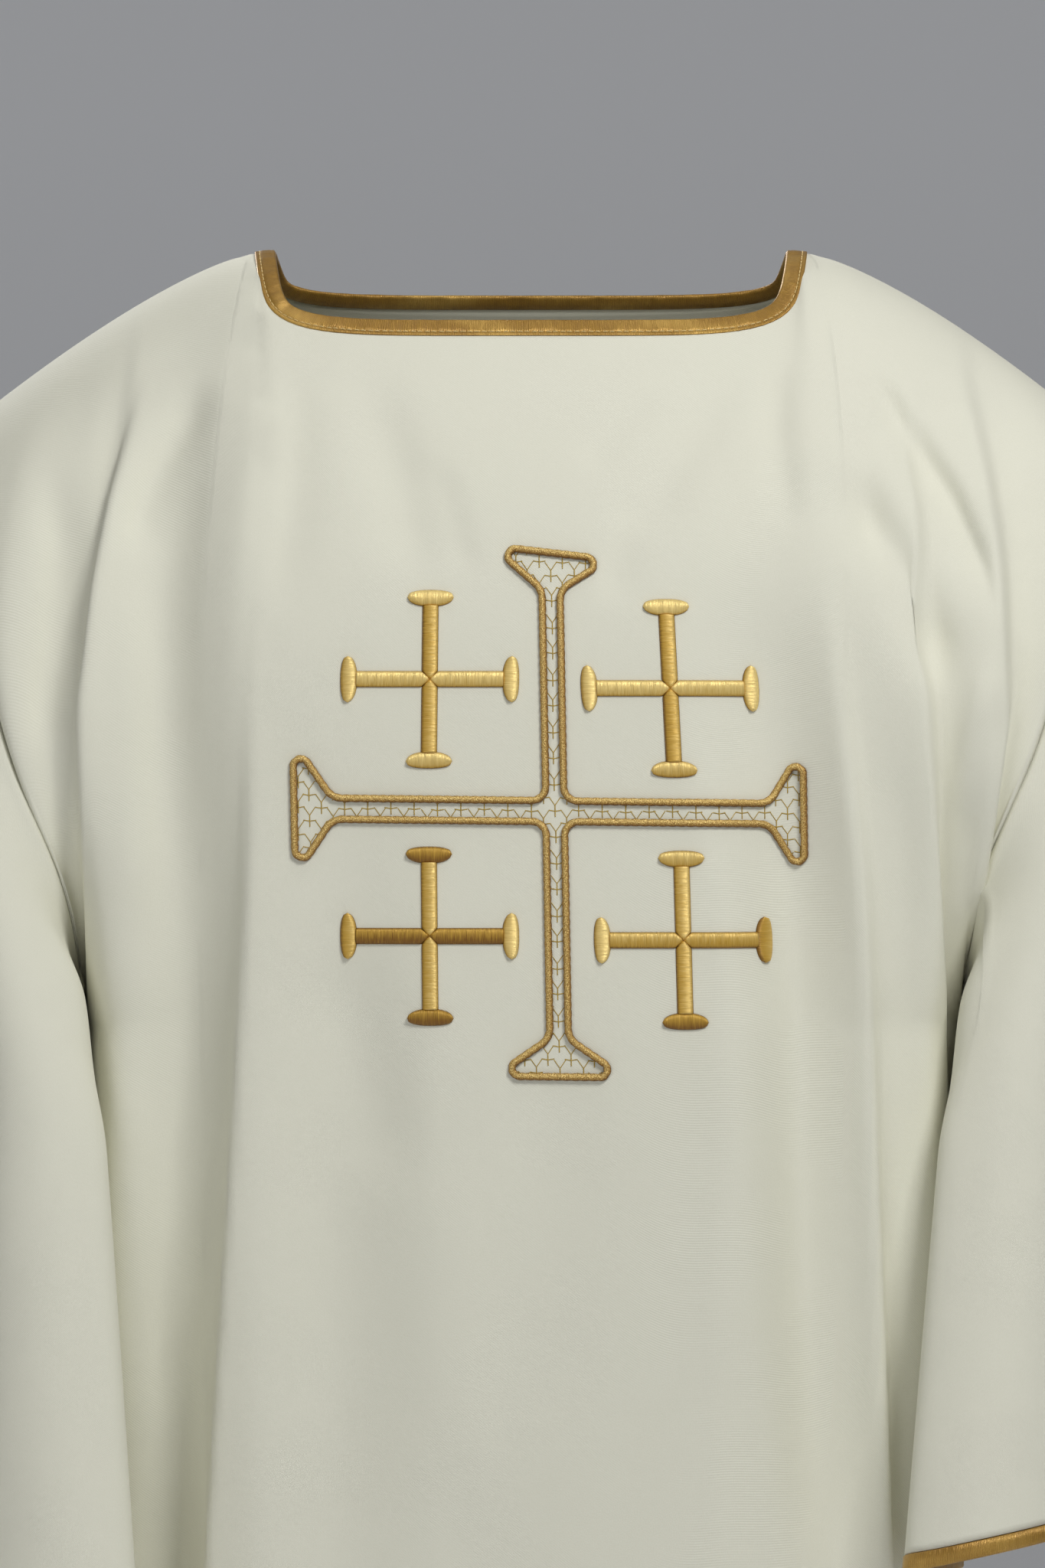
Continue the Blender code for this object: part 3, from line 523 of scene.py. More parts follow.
def folded_panel(face, across, down):
    """The panel's middle, eased below the neck points, with its folds and creases drawn in along its normal,
    and the normal of the result."""
    point, sink, middle = panel(face, across, down)
    from_neck = (np.abs(across) - NECK_SHARE) / NECK_EASE_REACH
    beside_neck = np.exp(-(from_neck**2)) * smooth(down / NECK_EASE_REACH)
    for _ in range(NECK_EASE_STEPS):
        between = (np.roll(point, 1, 1) + np.roll(point, -1, 1)) / 2
        point = mix(point, between, beside_neck[..., None])
    crest = crest_normals(face, point)
    point = point - outward(face, point) * sink[..., None]
    calm = smooth(down / CREST_ROWS) * (1 - smooth((np.abs(across) - SEAM_CALM) / (1 - SEAM_CALM)))
    point = point - outward(face, point) * (crease_sink(face, point) * calm)[..., None]
    point[..., 0] += middle
    point[..., 1] += AHEAD[face] * GAP / 2
    return point, unit(mix(crest, outward(face, point), smooth(down / CREST_ROWS)[..., None]))


def panel_grid(face):
    """A panel's middle and normals on its mesh's rows and columns, with a column at each neck point."""
    inner = NECK_COLUMNS[face]
    outer = PANEL_COLUMNS[face] // 2 - inner
    half = np.concatenate([np.linspace(0, NECK_SHARE, inner + 1), np.linspace(NECK_SHARE, 1, outer + 1)[1:]])
    columns = np.concatenate([-half[:0:-1], half])
    rows = np.concatenate([np.linspace(0, 1, HIGH_ROWS + 1), np.linspace(1, 2, LOW_ROWS[face] + 1)[1:]])
    across, down = np.meshgrid(columns, rows)
    point, normal = folded_panel(face, across, down)
    neck = (outer, outer + 2 * inner)
    pinch = HEM_PINCH * np.exp(-(((point[..., 2] - HEM - HEM_TURN_UP) / HEM_PINCH_REACH) ** 2))
    for side_seam in (point[:, :1], point[:, -1:]):
        pinch += seam_pinch(point, side_seam)
    for shoulder in (slice(0, neck[0] + 1), slice(neck[1], None)):
        pinch[:, shoulder] += seam_pinch(point[:, shoulder], point[:1, shoulder])
    return {"point": point - normal * pinch[..., None], "normal": normal, "neck": neck}


def seam_pinch(point, seam):
    """How far a seam draws the cloth in: a bell of each point's distance from the seam in its row or column."""
    away = np.linalg.norm(point - seam, axis=-1)
    return SEAM_PINCH * np.exp(-((away / SEAM_PINCH_REACH) ** 2))


def armhole(panels, side):
    """The armhole from the shoulder down its front and up its back: points and the panels' outward
    directions along the cloth there."""
    edge, before = (-1, -2) if side > 0 else (0, 1)
    front = slice(0, HIGH_ROWS + 1)
    back = slice(HIGH_ROWS - 1, 0, -1)
    points, leads = [], []
    for face, rows in (("front", front), ("back", back)):
        grid = panels[face]["point"]
        points.append(grid[rows, edge])
        leads.append(unit(grid[rows, edge] - grid[rows, before]))
    points, leads = np.concatenate(points), np.concatenate(leads)
    for shared in (0, HIGH_ROWS):
        points[shared] = (panels["front"]["point"][shared, edge] + panels["back"]["point"][shared, edge]) / 2
    return points, leads


def around(values, count):
    """A smooth closed curve through the values, with the given count of points, from the first on."""
    values = np.asarray(values, float)
    size = len(values)
    at = np.arange(count) * size / count
    i = at.astype(int)
    t = (at - i)[:, None]
    before, here, following, after = (values[(i + k) % size] for k in (-1, 0, 1, 2))
    return bridge(here, (following - before) / 2, following, (after - here) / 2, t)


def bridge(start, leaving, end, arriving, t):
    """A cubic from start to end with the given directions at both ends."""
    near = (1 + 2 * t) * (1 - t) ** 2 * start + t * (1 - t) ** 2 * leaving
    return near + (3 - 2 * t) * t**2 * end - (1 - t) * t**2 * arriving


def sleeve_grid(panels, sleeve):
    """A sleeve's middle and normals: rows from the armhole to the cuff, columns round from the shoulder
    over the front. Each column is a curve that leaves the armhole in the set-in direction and ends
    hanging straight down at the cuff. A soft bulge then lays the front's inner edge over the body below the
    armhole, and folds and fine creases draw the sleeve in."""
    side = sleeve.side
    start, leads = armhole(panels, side)
    count = len(start)
    turn = np.arange(count) / count
    from_top = 1 - np.abs(1 - 2 * turn)
    ahead = np.where(turn <= 0.5, -1, 1)
    downs = column(SET_IN, "down")
    out, forward, up = (glide(from_top, downs, column(SET_IN, way)) for way in ("out", "forward", "up"))
    lead = unit(np.stack([side * out, ahead * forward, up], -1))
    bend = np.sum(lead * leads, -1)
    clear = SEAM_ROOM + SHELL / 2 * np.sqrt(np.clip((1 - bend) / (1 + bend), 0, SHARPEST_BEND))
    start = start + lead * clear[:, None]
    start[:, 0] += side * UNDERARM_ROOM * smooth((from_top - UNDERARM_FROM) / (UNDERARM_FULL - UNDERARM_FROM))
    elbow, end = (sleeve_ring(table, side, count) for table in (ELBOW, CUFF))
    end[:, 2] -= sleeve.cuff_drop
    through = (end - start) / 2
    pull = lead * np.linalg.norm(elbow - start, axis=-1)[:, None] * SLEEVE_START_PULL
    t = np.linspace(0, 1, SLEEVE_ROWS + 1)[:, None, None]
    along = t[..., 0]
    upper = bridge(start, pull, elbow, through, np.clip(t / ELBOW_SHARE, 0, 1))
    lower = bridge(elbow, through, end, end - elbow, np.clip((t - ELBOW_SHARE) / (1 - ELBOW_SHARE), 0, 1))
    point = np.where(t < ELBOW_SHARE, upper, lower)
    beside = (turn - DRAPE_TURN) / DRAPE_TURN_SPREAD
    beyond = (along - DRAPE_ALONG) / DRAPE_ALONG_SPREAD
    drape = np.exp(-(beside**2 + beyond**2)) * smooth(along / DRAPE_ALONG_SPREAD)
    point = point - drape[..., None] * np.array([side * DRAPE_IN, DRAPE_FORWARD, 0])
    for sink in (sleeve_sink, sleeve_crease_sink):
        point = point - sleeve_normals(point, side) * sink(turn, along)[..., None]
    pinch = seam_pinch(point, point[:1]) * smooth(along * SLEEVE_ROWS)
    point = point - sleeve_normals(point, side) * pinch[..., None]
    return {"point": point, "normal": sleeve_normals(point, side)}


def sleeve_ring(table, side, count):
    """A ring round a sleeve from its table, as a smooth closed curve with the given count of points."""
    return around([(side * at.out + AXIS_SHIFT, at.back, at.height) for at in table], count)


def sleeve_sink(turn, along):
    """How far the sleeve's folds draw it in: rounded troughs that grow from the armhole to the cuff."""
    sink = 0
    for fold in SLEEVE_FOLDS:
        beside = (turn - mix(fold.at_top, fold.at_cuff, along)) / fold.half_width
        sink = sink + fold.depth * smooth(along / ELBOW_SHARE) * np.exp(-(beside**2))
    return sink


def sleeve_crease_sink(turn, along):
    """How far the sleeve's fine creases draw it in: a bell across each, tapering to both its ends."""
    sink = 0
    for crease in SLEEVE_CREASES:
        share = (along - crease.start) / (crease.end - crease.start)
        beside = (turn - mix(crease.turn_start, crease.turn_end, np.clip(share, 0, 1))) / crease.half_width
        taper = smooth(share / CREASE_TAPER) * smooth((1 - share) / CREASE_TAPER + (crease.end >= 1))
        sink = sink + crease.depth * taper * np.exp(-(beside**2))
    return sink


def sleeve_normals(point, side):
    """The unit normals of a closed tube of rows and columns, away from its inside."""
    down = np.gradient(point, axis=0)
    round_ = np.roll(point, -1, 1) - np.roll(point, 1, 1)
    return side * unit(np.cross(down, round_))


def weave(rows, columns, rows_closed=False, columns_closed=False):
    """Four-sided faces over a grid of points, as rows and columns of their corners. A closed grid's last
    corners are numbered one past the last row or column."""
    row, col = np.meshgrid(
        np.arange(rows if rows_closed else rows - 1),
        np.arange(columns if columns_closed else columns - 1),
        indexing="ij",
    )
    corner_rows = np.stack([row, row, row + 1, row + 1], -1).reshape(-1, 4)
    corner_columns = np.stack([col, col + 1, col + 1, col], -1).reshape(-1, 4)
    return corner_rows, corner_columns


def along_line(line):
    """The way walked along a line of points, from 0 at its first."""
    return np.concatenate([[0], np.cumsum(np.linalg.norm(np.diff(line, axis=0), axis=1))])


def walked(point, axis, closed):
    """The way walked along one axis of a grid of points, with the closing step at the end if it is closed."""
    if closed:
        point = np.concatenate([point, point[:, :1]], 1)
    steps = np.linalg.norm(np.diff(point, axis=axis), axis=-1)
    zero = np.zeros_like(np.take(steps, [0], axis=axis))
    return np.concatenate([zero, np.cumsum(steps, axis=axis)], axis=axis)


def lay(name, points, faces, threads, finish, tone=None):
    """A piece from points in millimetres and four-sided faces, turned outwards. threads is the way along the
    piece's own threads, in millimetres, at each corner of each face; the last argument is the painted light and
    shade, one number for each point."""
    mesh = bpy.data.meshes.new(name)
    mesh.from_pydata((points * MM).tolist(), [], faces.tolist())
    mesh.uv_layers.new(name="threads").data.foreach_set("uv", (threads * MM).ravel())
    if tone is not None:
        mesh.attributes.new("tone", "FLOAT", "POINT").data.foreach_set("value", np.asarray(tone, float))
    shape = bmesh.new()
    shape.from_mesh(mesh)
    bmesh.ops.recalc_face_normals(shape, faces=shape.faces)
    shape.to_mesh(mesh)
    shape.free()
    mesh.shade_smooth()
    mesh.materials.append(finish)
    piece = into_scene(bpy.data.objects.new(name, mesh))
    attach(piece, "root")
    return piece


def shell(name, grid, closed, finish):
    """A thin cloth about a grid of points: an outer and an inner face and the rims between them."""
    point, normal = grid["point"], grid["normal"]
    rows, columns = point.shape[:2]
    off = normal * SHELL / 2
    points = np.concatenate([(point + off).reshape(-1, 3), (point - off).reshape(-1, 3)])
    under = rows * columns
    corner_rows, corner_columns = weave(rows, columns, columns_closed=closed)
    across = walked(point, 1, closed)
    across -= across[:, across.shape[1] // 2][:, None]
    threads = np.stack([across, walked(point, 0, closed)], -1)
    outer = corner_rows * columns + corner_columns % columns
    faces = [outer, outer[:, ::-1] + under]
    on_threads = threads[corner_rows, corner_columns]
    corners = [on_threads, on_threads[:, ::-1]]
    last = columns if closed else columns - 1
    rims = [(np.arange(last + 1), np.full(last + 1, row)) for row in (0, rows - 1)]
    if not closed:
        rims += [(np.full(rows, col), np.arange(rows)) for col in (0, columns - 1)]
    for col, row in rims:
        edge = row * columns + col % columns
        faces.append(np.stack([edge[:-1], edge[1:], edge[1:] + under, edge[:-1] + under], -1))
        here = threads[row, col]
        corners.append(np.stack([here[:-1], here[1:], here[1:], here[:-1]], 1))
    return lay(name, points, np.concatenate(faces), np.concatenate(corners), finish)


def outer_face(grid):
    """The points of a cloth's outer face."""
    return grid["point"] + grid["normal"] * SHELL / 2


def tube(corners, closed=True):
    """A closed ring or a capped bar of changing section: corners is an array of stations by corners."""
    stations, count = corners.shape[:2]
    corner_rows, corner_columns = weave(stations, count, closed, True)
    faces = corner_rows % stations * count + corner_columns % count
    middle = corners.mean(1)
    if closed:
        middle = np.concatenate([middle, middle[:1]])
    across = walked(corners, 1, True)[0]
    threads = np.stack([along_line(middle)[corner_rows], across[corner_columns]], -1)
    return corners.reshape(-1, 3), faces, threads


# How much further on in its finish each thread starts than the one before
THREAD_SPREAD = 7.3


def threads_along(paths, normals, half_width, height):
    """Short threads of four-sided section along many paths at once, with closed ends: points, faces and the
    way along each thread."""
    count, steps = paths.shape[:2]
    way = unit(np.gradient(paths, axis=1))
    side = unit(np.cross(normals, way))
    corners = np.stack(
        [
            paths - side * half_width,
            paths + normals * height,
            paths + side * half_width,
            paths - normals * height * 0.5,
        ],
        2,
    )
    corner_rows, corner_columns = weave(steps, 4, columns_closed=True)
    one = corner_rows * 4 + corner_columns % 4
    one = np.concatenate([one, [[3, 2, 1, 0]], [np.arange(4) + (steps - 1) * 4]])
    rows_here = np.concatenate([corner_rows, [[0] * 4], [[steps - 1] * 4]])
    columns_here = np.concatenate([corner_columns, [[3, 2, 1, 0]], [[0, 1, 2, 3]]])
    faces = (np.arange(count)[:, None, None] * steps * 4 + one[None]).reshape(-1, 4)
    length = np.linalg.norm(np.diff(paths, axis=1), axis=-1).sum(1).mean() / (steps - 1)
    flat = np.stack([rows_here * length, columns_here * height], -1)
    spread = np.arange(count)[:, None, None, None] * np.array([THREAD_SPREAD, 0.0])
    return corners.reshape(-1, 3), faces, (flat[None] + spread).reshape(-1, 4, 2)


def resampled(points, step):
    """A closed line of points, walked again in even steps of about the given length; further columns ride
    along."""
    closing = np.concatenate([points, points[:1]])
    at = along_line(closing[:, :3])
    count = int(round(at[-1] / step))
    new = np.arange(count) * at[-1] / count
    return np.stack([np.interp(new, at, closing[:, axis]) for axis in range(points.shape[1])], 1)


# The section of a bias tape folded over a cloth's edge: way across from the edge, and way off the middle
TAPE = np.array(
    [
        (-1.3, 0.62),
        (-1.45, 0.9),
        (-1.1, 1.14),
        (-0.3, 1.26),
        (0.3, 1.2),
        (0.75, 0.96),
        (1.2, 1.2),
        (2.2, 1.42),
        (5.4, 1.46),
        (6.6, 1.3),
        (7.2, 1.42),
        (7.9, 1.1),
        (8.4, 0.2),
        (8.1, -0.6),
        (7.0, -1.1),
        (4.0, -1.25),
        (0.8, -1.1),
        (0.35, -0.5),
        (0.35, 0.6),
    ]
)
TAPE_STEP = 0.6
# Its puckers: how high, over how much of its width they grow beside the stitches and die at the outer fold,
# and the waves that they are made of, with each wave's turns in a run of 6 mm
TAPE_PUCKER = 0.16
PUCKER_GROWS = 3.0
PUCKER_DIES = 4.0
PUCKER_END = 9.5
PUCKER_RUN = 6.0
Wave = namedtuple("Wave", "turns size phase")
PUCKER_WAVES = [Wave(0.31, 1.0, 0.3), Wave(0.47, 0.8, 1.7), Wave(0.13, 0.9, 0.9), Wave(0.71, 0.5, 2.4)]
# Its stitches: their way across from the edge, their size and how far they lie off the middle of the cloth
STITCH_LINE = 0.75
STITCH_LENGTH = 2.5
STITCH_PITCH = 3.3
STITCH_HALF_WIDTH = 0.3
STITCH_HEIGHT = 0.22
STITCH_LIFT = 1.02
STITCH_ARCH = 0.3
STITCH_STATIONS = 5


def tape(name, edge, inward, normal, finish, stitch_finish):
    """A bias tape along a closed edge, slightly puckered, and the row of stitches that holds it."""
    line = resampled(np.concatenate([edge, inward, normal], 1), TAPE_STEP)
    edge, inward, normal = line[:, :3], unit(line[:, 3:6]), unit(line[:, 6:])
    count = len(edge)
    turn = np.arange(count) / count * 2 * np.pi
    length = count * TAPE_STEP
    pucker = sum(
        wave.size * np.sin(round(wave.turns * length / PUCKER_RUN) * turn + wave.phase) for wave in PUCKER_WAVES
    )
    across, off = TAPE[:, 0], TAPE[:, 1]
    held = smooth((across - STITCH_LINE) / PUCKER_GROWS) * smooth((PUCKER_END - across) / PUCKER_DIES)
    off = off[None] + TAPE_PUCKER * pucker[:, None] * (held * np.sign(off))[None]
    corners = edge[:, None] + inward[:, None] * across[None, :, None] + normal[:, None] * off[..., None]
    ribbon = lay(name, *tube(corners), finish)
    stitches = int(length // STITCH_PITCH)
    start = np.arange(stitches) * count / stitches
    stations = np.linspace(0, STITCH_LENGTH / TAPE_STEP, STITCH_STATIONS)
    at = (start[:, None] + stations[None]).astype(int) % count
    paths = edge[at] + inward[at] * STITCH_LINE + normal[at] * stitch_lift(STITCH_LIFT, STITCH_ARCH)
    threads = threads_along(paths, normal[at], STITCH_HALF_WIDTH, STITCH_HEIGHT)
    return ribbon, lay(name + "_stitches", *threads, stitch_finish)


def stitch_lift(lift, arch):
    """How far the stations of a stitch are lifted: half a wave from one hole to the next."""
    return (lift + arch * np.sin(np.linspace(0, np.pi, STITCH_STATIONS)))[None, :, None]


def hem_stitches(name, grid, finish):
    """The row of stitches that holds the hem's turn-up, along the row of the cloth nearest to its place."""
    outer = outer_face(grid)
    row = np.abs(outer[:, outer.shape[1] // 2, 2] - HEM - HEM_TURN_UP).argmin()
    line, normal = outer[row], grid["normal"][row]
    at = along_line(line)
    starts = np.arange(HEM_STITCH_PITCH, at[-1] - HEM_STITCH_PITCH, HEM_STITCH_PITCH)
    places = starts[:, None] + np.linspace(0, HEM_STITCH_LENGTH, STITCH_STATIONS)[None]
    paths, normals = (
        np.stack([np.interp(places, at, values[:, axis]) for axis in range(3)], -1) for values in (line, normal)
    )
    paths = paths + normals * stitch_lift(HEM_STITCH_LIFT, HEM_STITCH_ARCH)
    return lay(name, *threads_along(paths, unit(normals), HEM_STITCH_HALF_WIDTH, HEM_STITCH_HEIGHT), finish)


def neck_edge(panels):
    """The neckline, front then back, with the directions into the neck opening and off the cloth."""
    edges, normals = [], []
    for face in ("front", "back"):
        first, last = panels[face]["neck"]
        order = slice(first, last + 1) if face == "front" else slice(last - 1, first, -1)
        edges.append(panels[face]["point"][0, order])
        normals.append(panels[face]["normal"][0, order])
    edge, normal = np.concatenate(edges), np.concatenate(normals)
    front, back = panels["front"], panels["back"]
    for corner, hand in ((0, 0), (front["neck"][1] - front["neck"][0], 1)):
        at, back_at = front["neck"][hand], back["neck"][hand]
        edge[corner] = (front["point"][0, at] + back["point"][0, back_at]) / 2
        normal[corner] = unit(front["normal"][0, at] + back["normal"][0, back_at])
    along = np.roll(edge, -1, 0) - np.roll(edge, 1, 0)
    return edge, unit(np.cross(normal, along)), normal


def cuff_edge(grid):
    """A sleeve's hem, with the directions down past it and off the cloth."""
    edge = grid["point"][-1]
    return edge, unit(edge - grid["point"][-2]), grid["normal"][-1]


# Finding a place on a grid: the count of steps, the longest step, and how far inside the last row it stays
WALK_STEPS = 14
WALK_REACH = 9
WALK_END = 1.001


def on_cloth(grid, places):
    """Points and normals on the front cloth's outer face for places (x, z) seen from the front, found by
    walking over the grid: each step moves by what is still missing, turned into rows and columns."""
    outer = outer_face(grid)
    rows, columns = outer.shape[:2]
    down, across = np.gradient(outer, axis=0), np.gradient(outer, axis=1)
    table = np.concatenate([outer, down, across, grid["normal"]], -1)
    shape = places.shape[:-1]
    places = places.reshape(-1, 2)
    row = np.interp(-places[:, 1], -outer[:, columns // 2, 2], np.arange(rows))
    col = columns / 2 + places[:, 0] / outer[rows // 3, :, 0].max() * columns / 3

    def read(row, col):
        """The table's values at rows and columns between its own, in straight lines between the nearest."""
        r, c = np.clip(row.astype(int), 0, rows - 2), np.clip(col.astype(int), 0, columns - 2)
        u, v = (row - r)[:, None], (col - c)[:, None]
        near = table[r, c] * (1 - v) + table[r, c + 1] * v
        return near * (1 - u) + (table[r + 1, c] * (1 - v) + table[r + 1, c + 1] * v) * u

    for _ in range(WALK_STEPS):
        here = read(row, col)
        miss_x, miss_z = places[:, 0] - here[:, 0], places[:, 1] - here[:, 2]
        down_x, down_z, across_x, across_z = here[:, 3], here[:, 5], here[:, 6], here[:, 8]
        spread = down_x * across_z - down_z * across_x
        row_step = (miss_x * across_z - miss_z * across_x) / spread
        col_step = (down_x * miss_z - down_z * miss_x) / spread
        row = np.clip(row + np.clip(row_step, -WALK_REACH, WALK_REACH), 0, rows - WALK_END)
        col = np.clip(col + np.clip(col_step, -WALK_REACH, WALK_REACH), 0, columns - WALK_END)
    here = read(row, col)
    return here[:, :3].reshape(*shape, 3), unit(here[:, 9:]).reshape(*shape, 3)


def place_on_cross(flat):
    """Places on the drawing of the crosses, moved to where the hanging cloth holds them."""
    x = flat[..., 0] + CROSS_LEAN * -flat[..., 1]
    z = flat[..., 1] - CROSS_FALL * flat[..., 0]
    return np.stack([x, z], -1) + np.array(CROSS_MIDDLE)


def round_corners(corners, step):
    """A closed outline from rows of x, z and corner radius: straight runs and arcs, in even steps."""
    outline = []
    count = len(corners)
    for i in range(count):
        here = np.array(corners[i][:2])
        back = unit(np.array(corners[i - 1][:2]) - here)
        on = unit(np.array(corners[(i + 1) % count][:2]) - here)
        half = np.arccos(np.clip(back @ on, -1, 1)) / 2
        cut = corners[i][2] / np.tan(half)
        centre = here + unit(back + on) * corners[i][2] / np.sin(half)
        first, last = here + back * cut - centre, here + on * cut - centre
        for share in np.linspace(0, 1, CROSS_ARC_STEPS):
            outline.append(centre + unit(mix(first, last, share)) * corners[i][2])
    return resampled(np.array(outline), step)


def large_cross_outline():
    """The outline of the large cross, counter-clockwise: four slim arms that flare to wide ends."""
    corners = []
    for arm in ARMS:
        half = [
            (arm.half_bar, ARMS[arm.turns - 1].half_bar, CROSS_JUNCTION_ROUND),
            (arm.half_bar, arm.length - arm.flare, CROSS_FLARE_ROUND),
            (arm.half_end, arm.length + arm.tilt, CROSS_END_ROUND),
        ]
        other_half = [
            (-arm.half_end, arm.length - arm.tilt, CROSS_END_ROUND),
            (-arm.half_bar, arm.length - arm.flare, CROSS_FLARE_ROUND),
        ]
        cos, sin = round(np.cos(arm.turns * np.pi / 2)), round(np.sin(arm.turns * np.pi / 2))
        corners += [(x * cos - z * sin, x * sin + z * cos, radius) for x, z, radius in half + other_half]
    return corners


def cross_cord(front, finish):
    """The couched cord round the large cross: a round tube, flat where it lies on the cloth, whose strands wind
    about it."""
    path = round_corners(large_cross_outline(), CORD_STEP)
    ahead = unit(np.roll(path, -1, 0) - np.roll(path, 1, 0))
    beside = np.stack([-ahead[:, 1], ahead[:, 0]], -1)
    angle = np.linspace(0, 2 * np.pi, CORD_CORNERS, endpoint=False)
    station = np.arange(len(path))[:, None]
    turns = round(len(path) * CORD_STEP / CORD_TWIST)
    wind = CORD_STRANDS * angle[None] - 2 * np.pi * turns * station / len(path)
    radius = CORD_RADIUS * (CORD_WAIST + CORD_STRAND * np.abs(np.cos(wind / 2)))
    off = radius * np.cos(angle)
    lift = np.maximum(CORD_LIFT + radius * np.sin(angle), CORD_SOLE)
    # How far each corner faces the side of the painted light, for painted light on that flank and painted shade
    # on the other
    facing = (beside @ np.array(CORD_PAINTED_LIGHT_SIDE))[:, None] * np.cos(angle)
    tone = CORD_PAINTED_FLANK_SHADE + CORD_PAINTED_CROWN_HIGHLIGHT * np.maximum(np.sin(angle), 0) + CORD_PAINTED_SIDE_LIGHT * facing
    point, normal = on_cloth(front, place_on_cross(path[:, None] + beside[:, None] * off[..., None]))
    return lay("cross_cord", *tube(point + normal * lift[..., None]), finish, np.clip(tone, 0, 1).ravel())


# The net inside the large cross: knots in staggered rows, moved a little by two sines of column and row, and
# the runs of thread about each knot with half their width
NET_COLUMN = 10.7
NET_ROW = 6.0
NET_REACH = 126.0
NET_UNEVEN = 0.3
NET_SINES = [(12.9, 78.2), (39.3, 11.1)]
NET_RUN_STEPS = 7
NET_LIFT = 0.14
NET_THREAD_HEIGHT = 0.14
NET_OUTLINE_STEP = 2.0
NetRun = namedtuple("NetRun", "start end half_width")
NET_RUNS = [
    NetRun((-2.9, 0.5), (0.0, 0.0), 0.23),
    NetRun((0.0, 0.0), (2.9, 0.5), 0.23),
    NetRun((0.0, 2.7), (0.0, -2.6), 0.25),
    NetRun((0.0, 2.7), (2.65, 6.5), 0.2),
    NetRun((0.0, 2.7), (-2.65, 6.5), 0.19),
]


def inside_outline(outline, places):
    """Whether places lie inside a closed outline: an odd count of its sides crosses the ray to the right."""
    x, z = places[..., 0, None], places[..., 1, None]
    x1, z1 = outline[:, 0], outline[:, 1]
    x2, z2 = np.roll(x1, -1), np.roll(z1, -1)
    spans = (z1 > z) != (z2 > z)
    cross_at = x1 + (z - z1) / np.where(z2 == z1, 1, z2 - z1) * (x2 - x1)
    return (spans & (x < cross_at)).sum(-1) % 2 == 1


def cross_net(front, finish):
    """The net stitched inside the large cross: through each knot a shallow level stitch and an upright one,
    and from its top two slanting runs to the knots of the next row. Only segments inside the outline stay."""
    rows, columns = round(NET_REACH / NET_ROW), round(NET_REACH / NET_COLUMN)
    row, col = np.meshgrid(np.arange(-rows, rows + 1), np.arange(-columns, columns + 1), indexing="ij")
    knots = np.stack([(col + row % 2 / 2) * NET_COLUMN, row * NET_ROW], -1).reshape(-1, 1, 1, 2)
    uneven = np.stack([np.sin(by_col * col + by_row * row) for by_col, by_row in NET_SINES], -1)
    knots = knots + NET_UNEVEN * uneven.reshape(-1, 1, 1, 2)
    start, end = (column(NET_RUNS, name)[None, :, None] for name in ("start", "end"))
    lines = knots + start + (end - start) * np.linspace(0, 1, NET_RUN_STEPS)[None, None, :, None]
    segments = np.stack([lines[:, :, :-1], lines[:, :, 1:]], 3)
    half_width = np.broadcast_to(column(NET_RUNS, "half_width")[None, :, None], segments.shape[:3])
    segments, half_width = segments.reshape(-1, 2, 2), half_width.reshape(-1, 1, 1)
    outline = round_corners(large_cross_outline(), NET_OUTLINE_STEP)
    kept = inside_outline(outline, segments).all(1)
    point, normal = on_cloth(front, place_on_cross(segments[kept]))
    paths = point + normal * NET_LIFT
    return lay("cross_net", *threads_along(paths, normal, half_width[kept], NET_THREAD_HEIGHT), finish)


# A small cross's end pad: half its length, the distances of its inner and outer edge from the cross's middle,
# where between them its ends lie, and the powers that shape its round ends
PAD_HALF_LENGTH = 10.6
PAD_INNER = 33.2
PAD_OUTER = 41.0
PAD_ENDS = 0.55
PAD_END_POWER = 2.4
PAD_END_WIDTH = 0.0004
PAD_INNER_POWER = 1.1
PAD_OUTER_POWER = 0.75
PAD_HEIGHT = 1.9
PAD_STATIONS = 26
# Its bar: from beside the cross's middle, where it comes to a point, to just under the pad
BAR_START = 0.12
BAR_UNDER_PAD = 0.5
BAR_POINT_POWER = 0.8
BAR_HALF_WIDTH = 3.75
BAR_HEIGHT = 1.75
BAR_STATIONS = 40
# The arch across a bar or pad: its points, the power that flattens it, the width from which it is full, how far
# its foot and its back lie off the cloth, and how the painted light turns across it and painted shade falls at
# its edges
ARCH_POINTS = 13
ARCH_POWER = 0.8
ARCH_FULL_WIDTH = 3.0
ARCH_FOOT = 0.15
ARCH_BACK = 0.08
PAINTED_LIGHT_SLOPE = 0.26
PAINTED_EDGE_SHADE = 0.75
PAINTED_EDGE_SHADE_POWER = 9
# The four ways in which the bars point, in x and z
BAR_WAYS = [(0, 1), (-1, 0), (0, -1), (1, 0)]


def raised(near, far, height, tone, light):
    """A raised satin pad between two edges, lists of places in the drawing: a low arch across and a flat
    back. Returns places, lifts and the painted light and shade of the thread: painted lighter to the far edge
    where light is 1 and to the near edge where it is -1, and painted deep brown shade at both edges and on the
    back."""
    across = np.linspace(0, 1, ARCH_POINTS)
    slope = 2 * across - 1
    arch = np.sqrt(np.maximum(1 - slope**2, 0)) ** ARCH_POWER
    top = near[:, None] + (far - near)[:, None] * across[None, :, None]
    full = np.minimum(1, np.linalg.norm(far - near, axis=1) / ARCH_FULL_WIDTH)[:, None]
    places = np.concatenate([top, top[:, -2:0:-1]], 1)
    back = np.ones((len(near), ARCH_POINTS - 2))
    lift = np.concatenate([ARCH_FOOT + height * arch[None] * full, ARCH_BACK * back], 1)
    painted_shading = tone + PAINTED_LIGHT_SLOPE * light * slope - PAINTED_EDGE_SHADE * np.abs(slope) ** PAINTED_EDGE_SHADE_POWER
    painted_shading = np.concatenate([np.tile(painted_shading, (len(near), 1)), 0 * back], 1)
    return places, lift, np.clip(painted_shading, 0, 1)


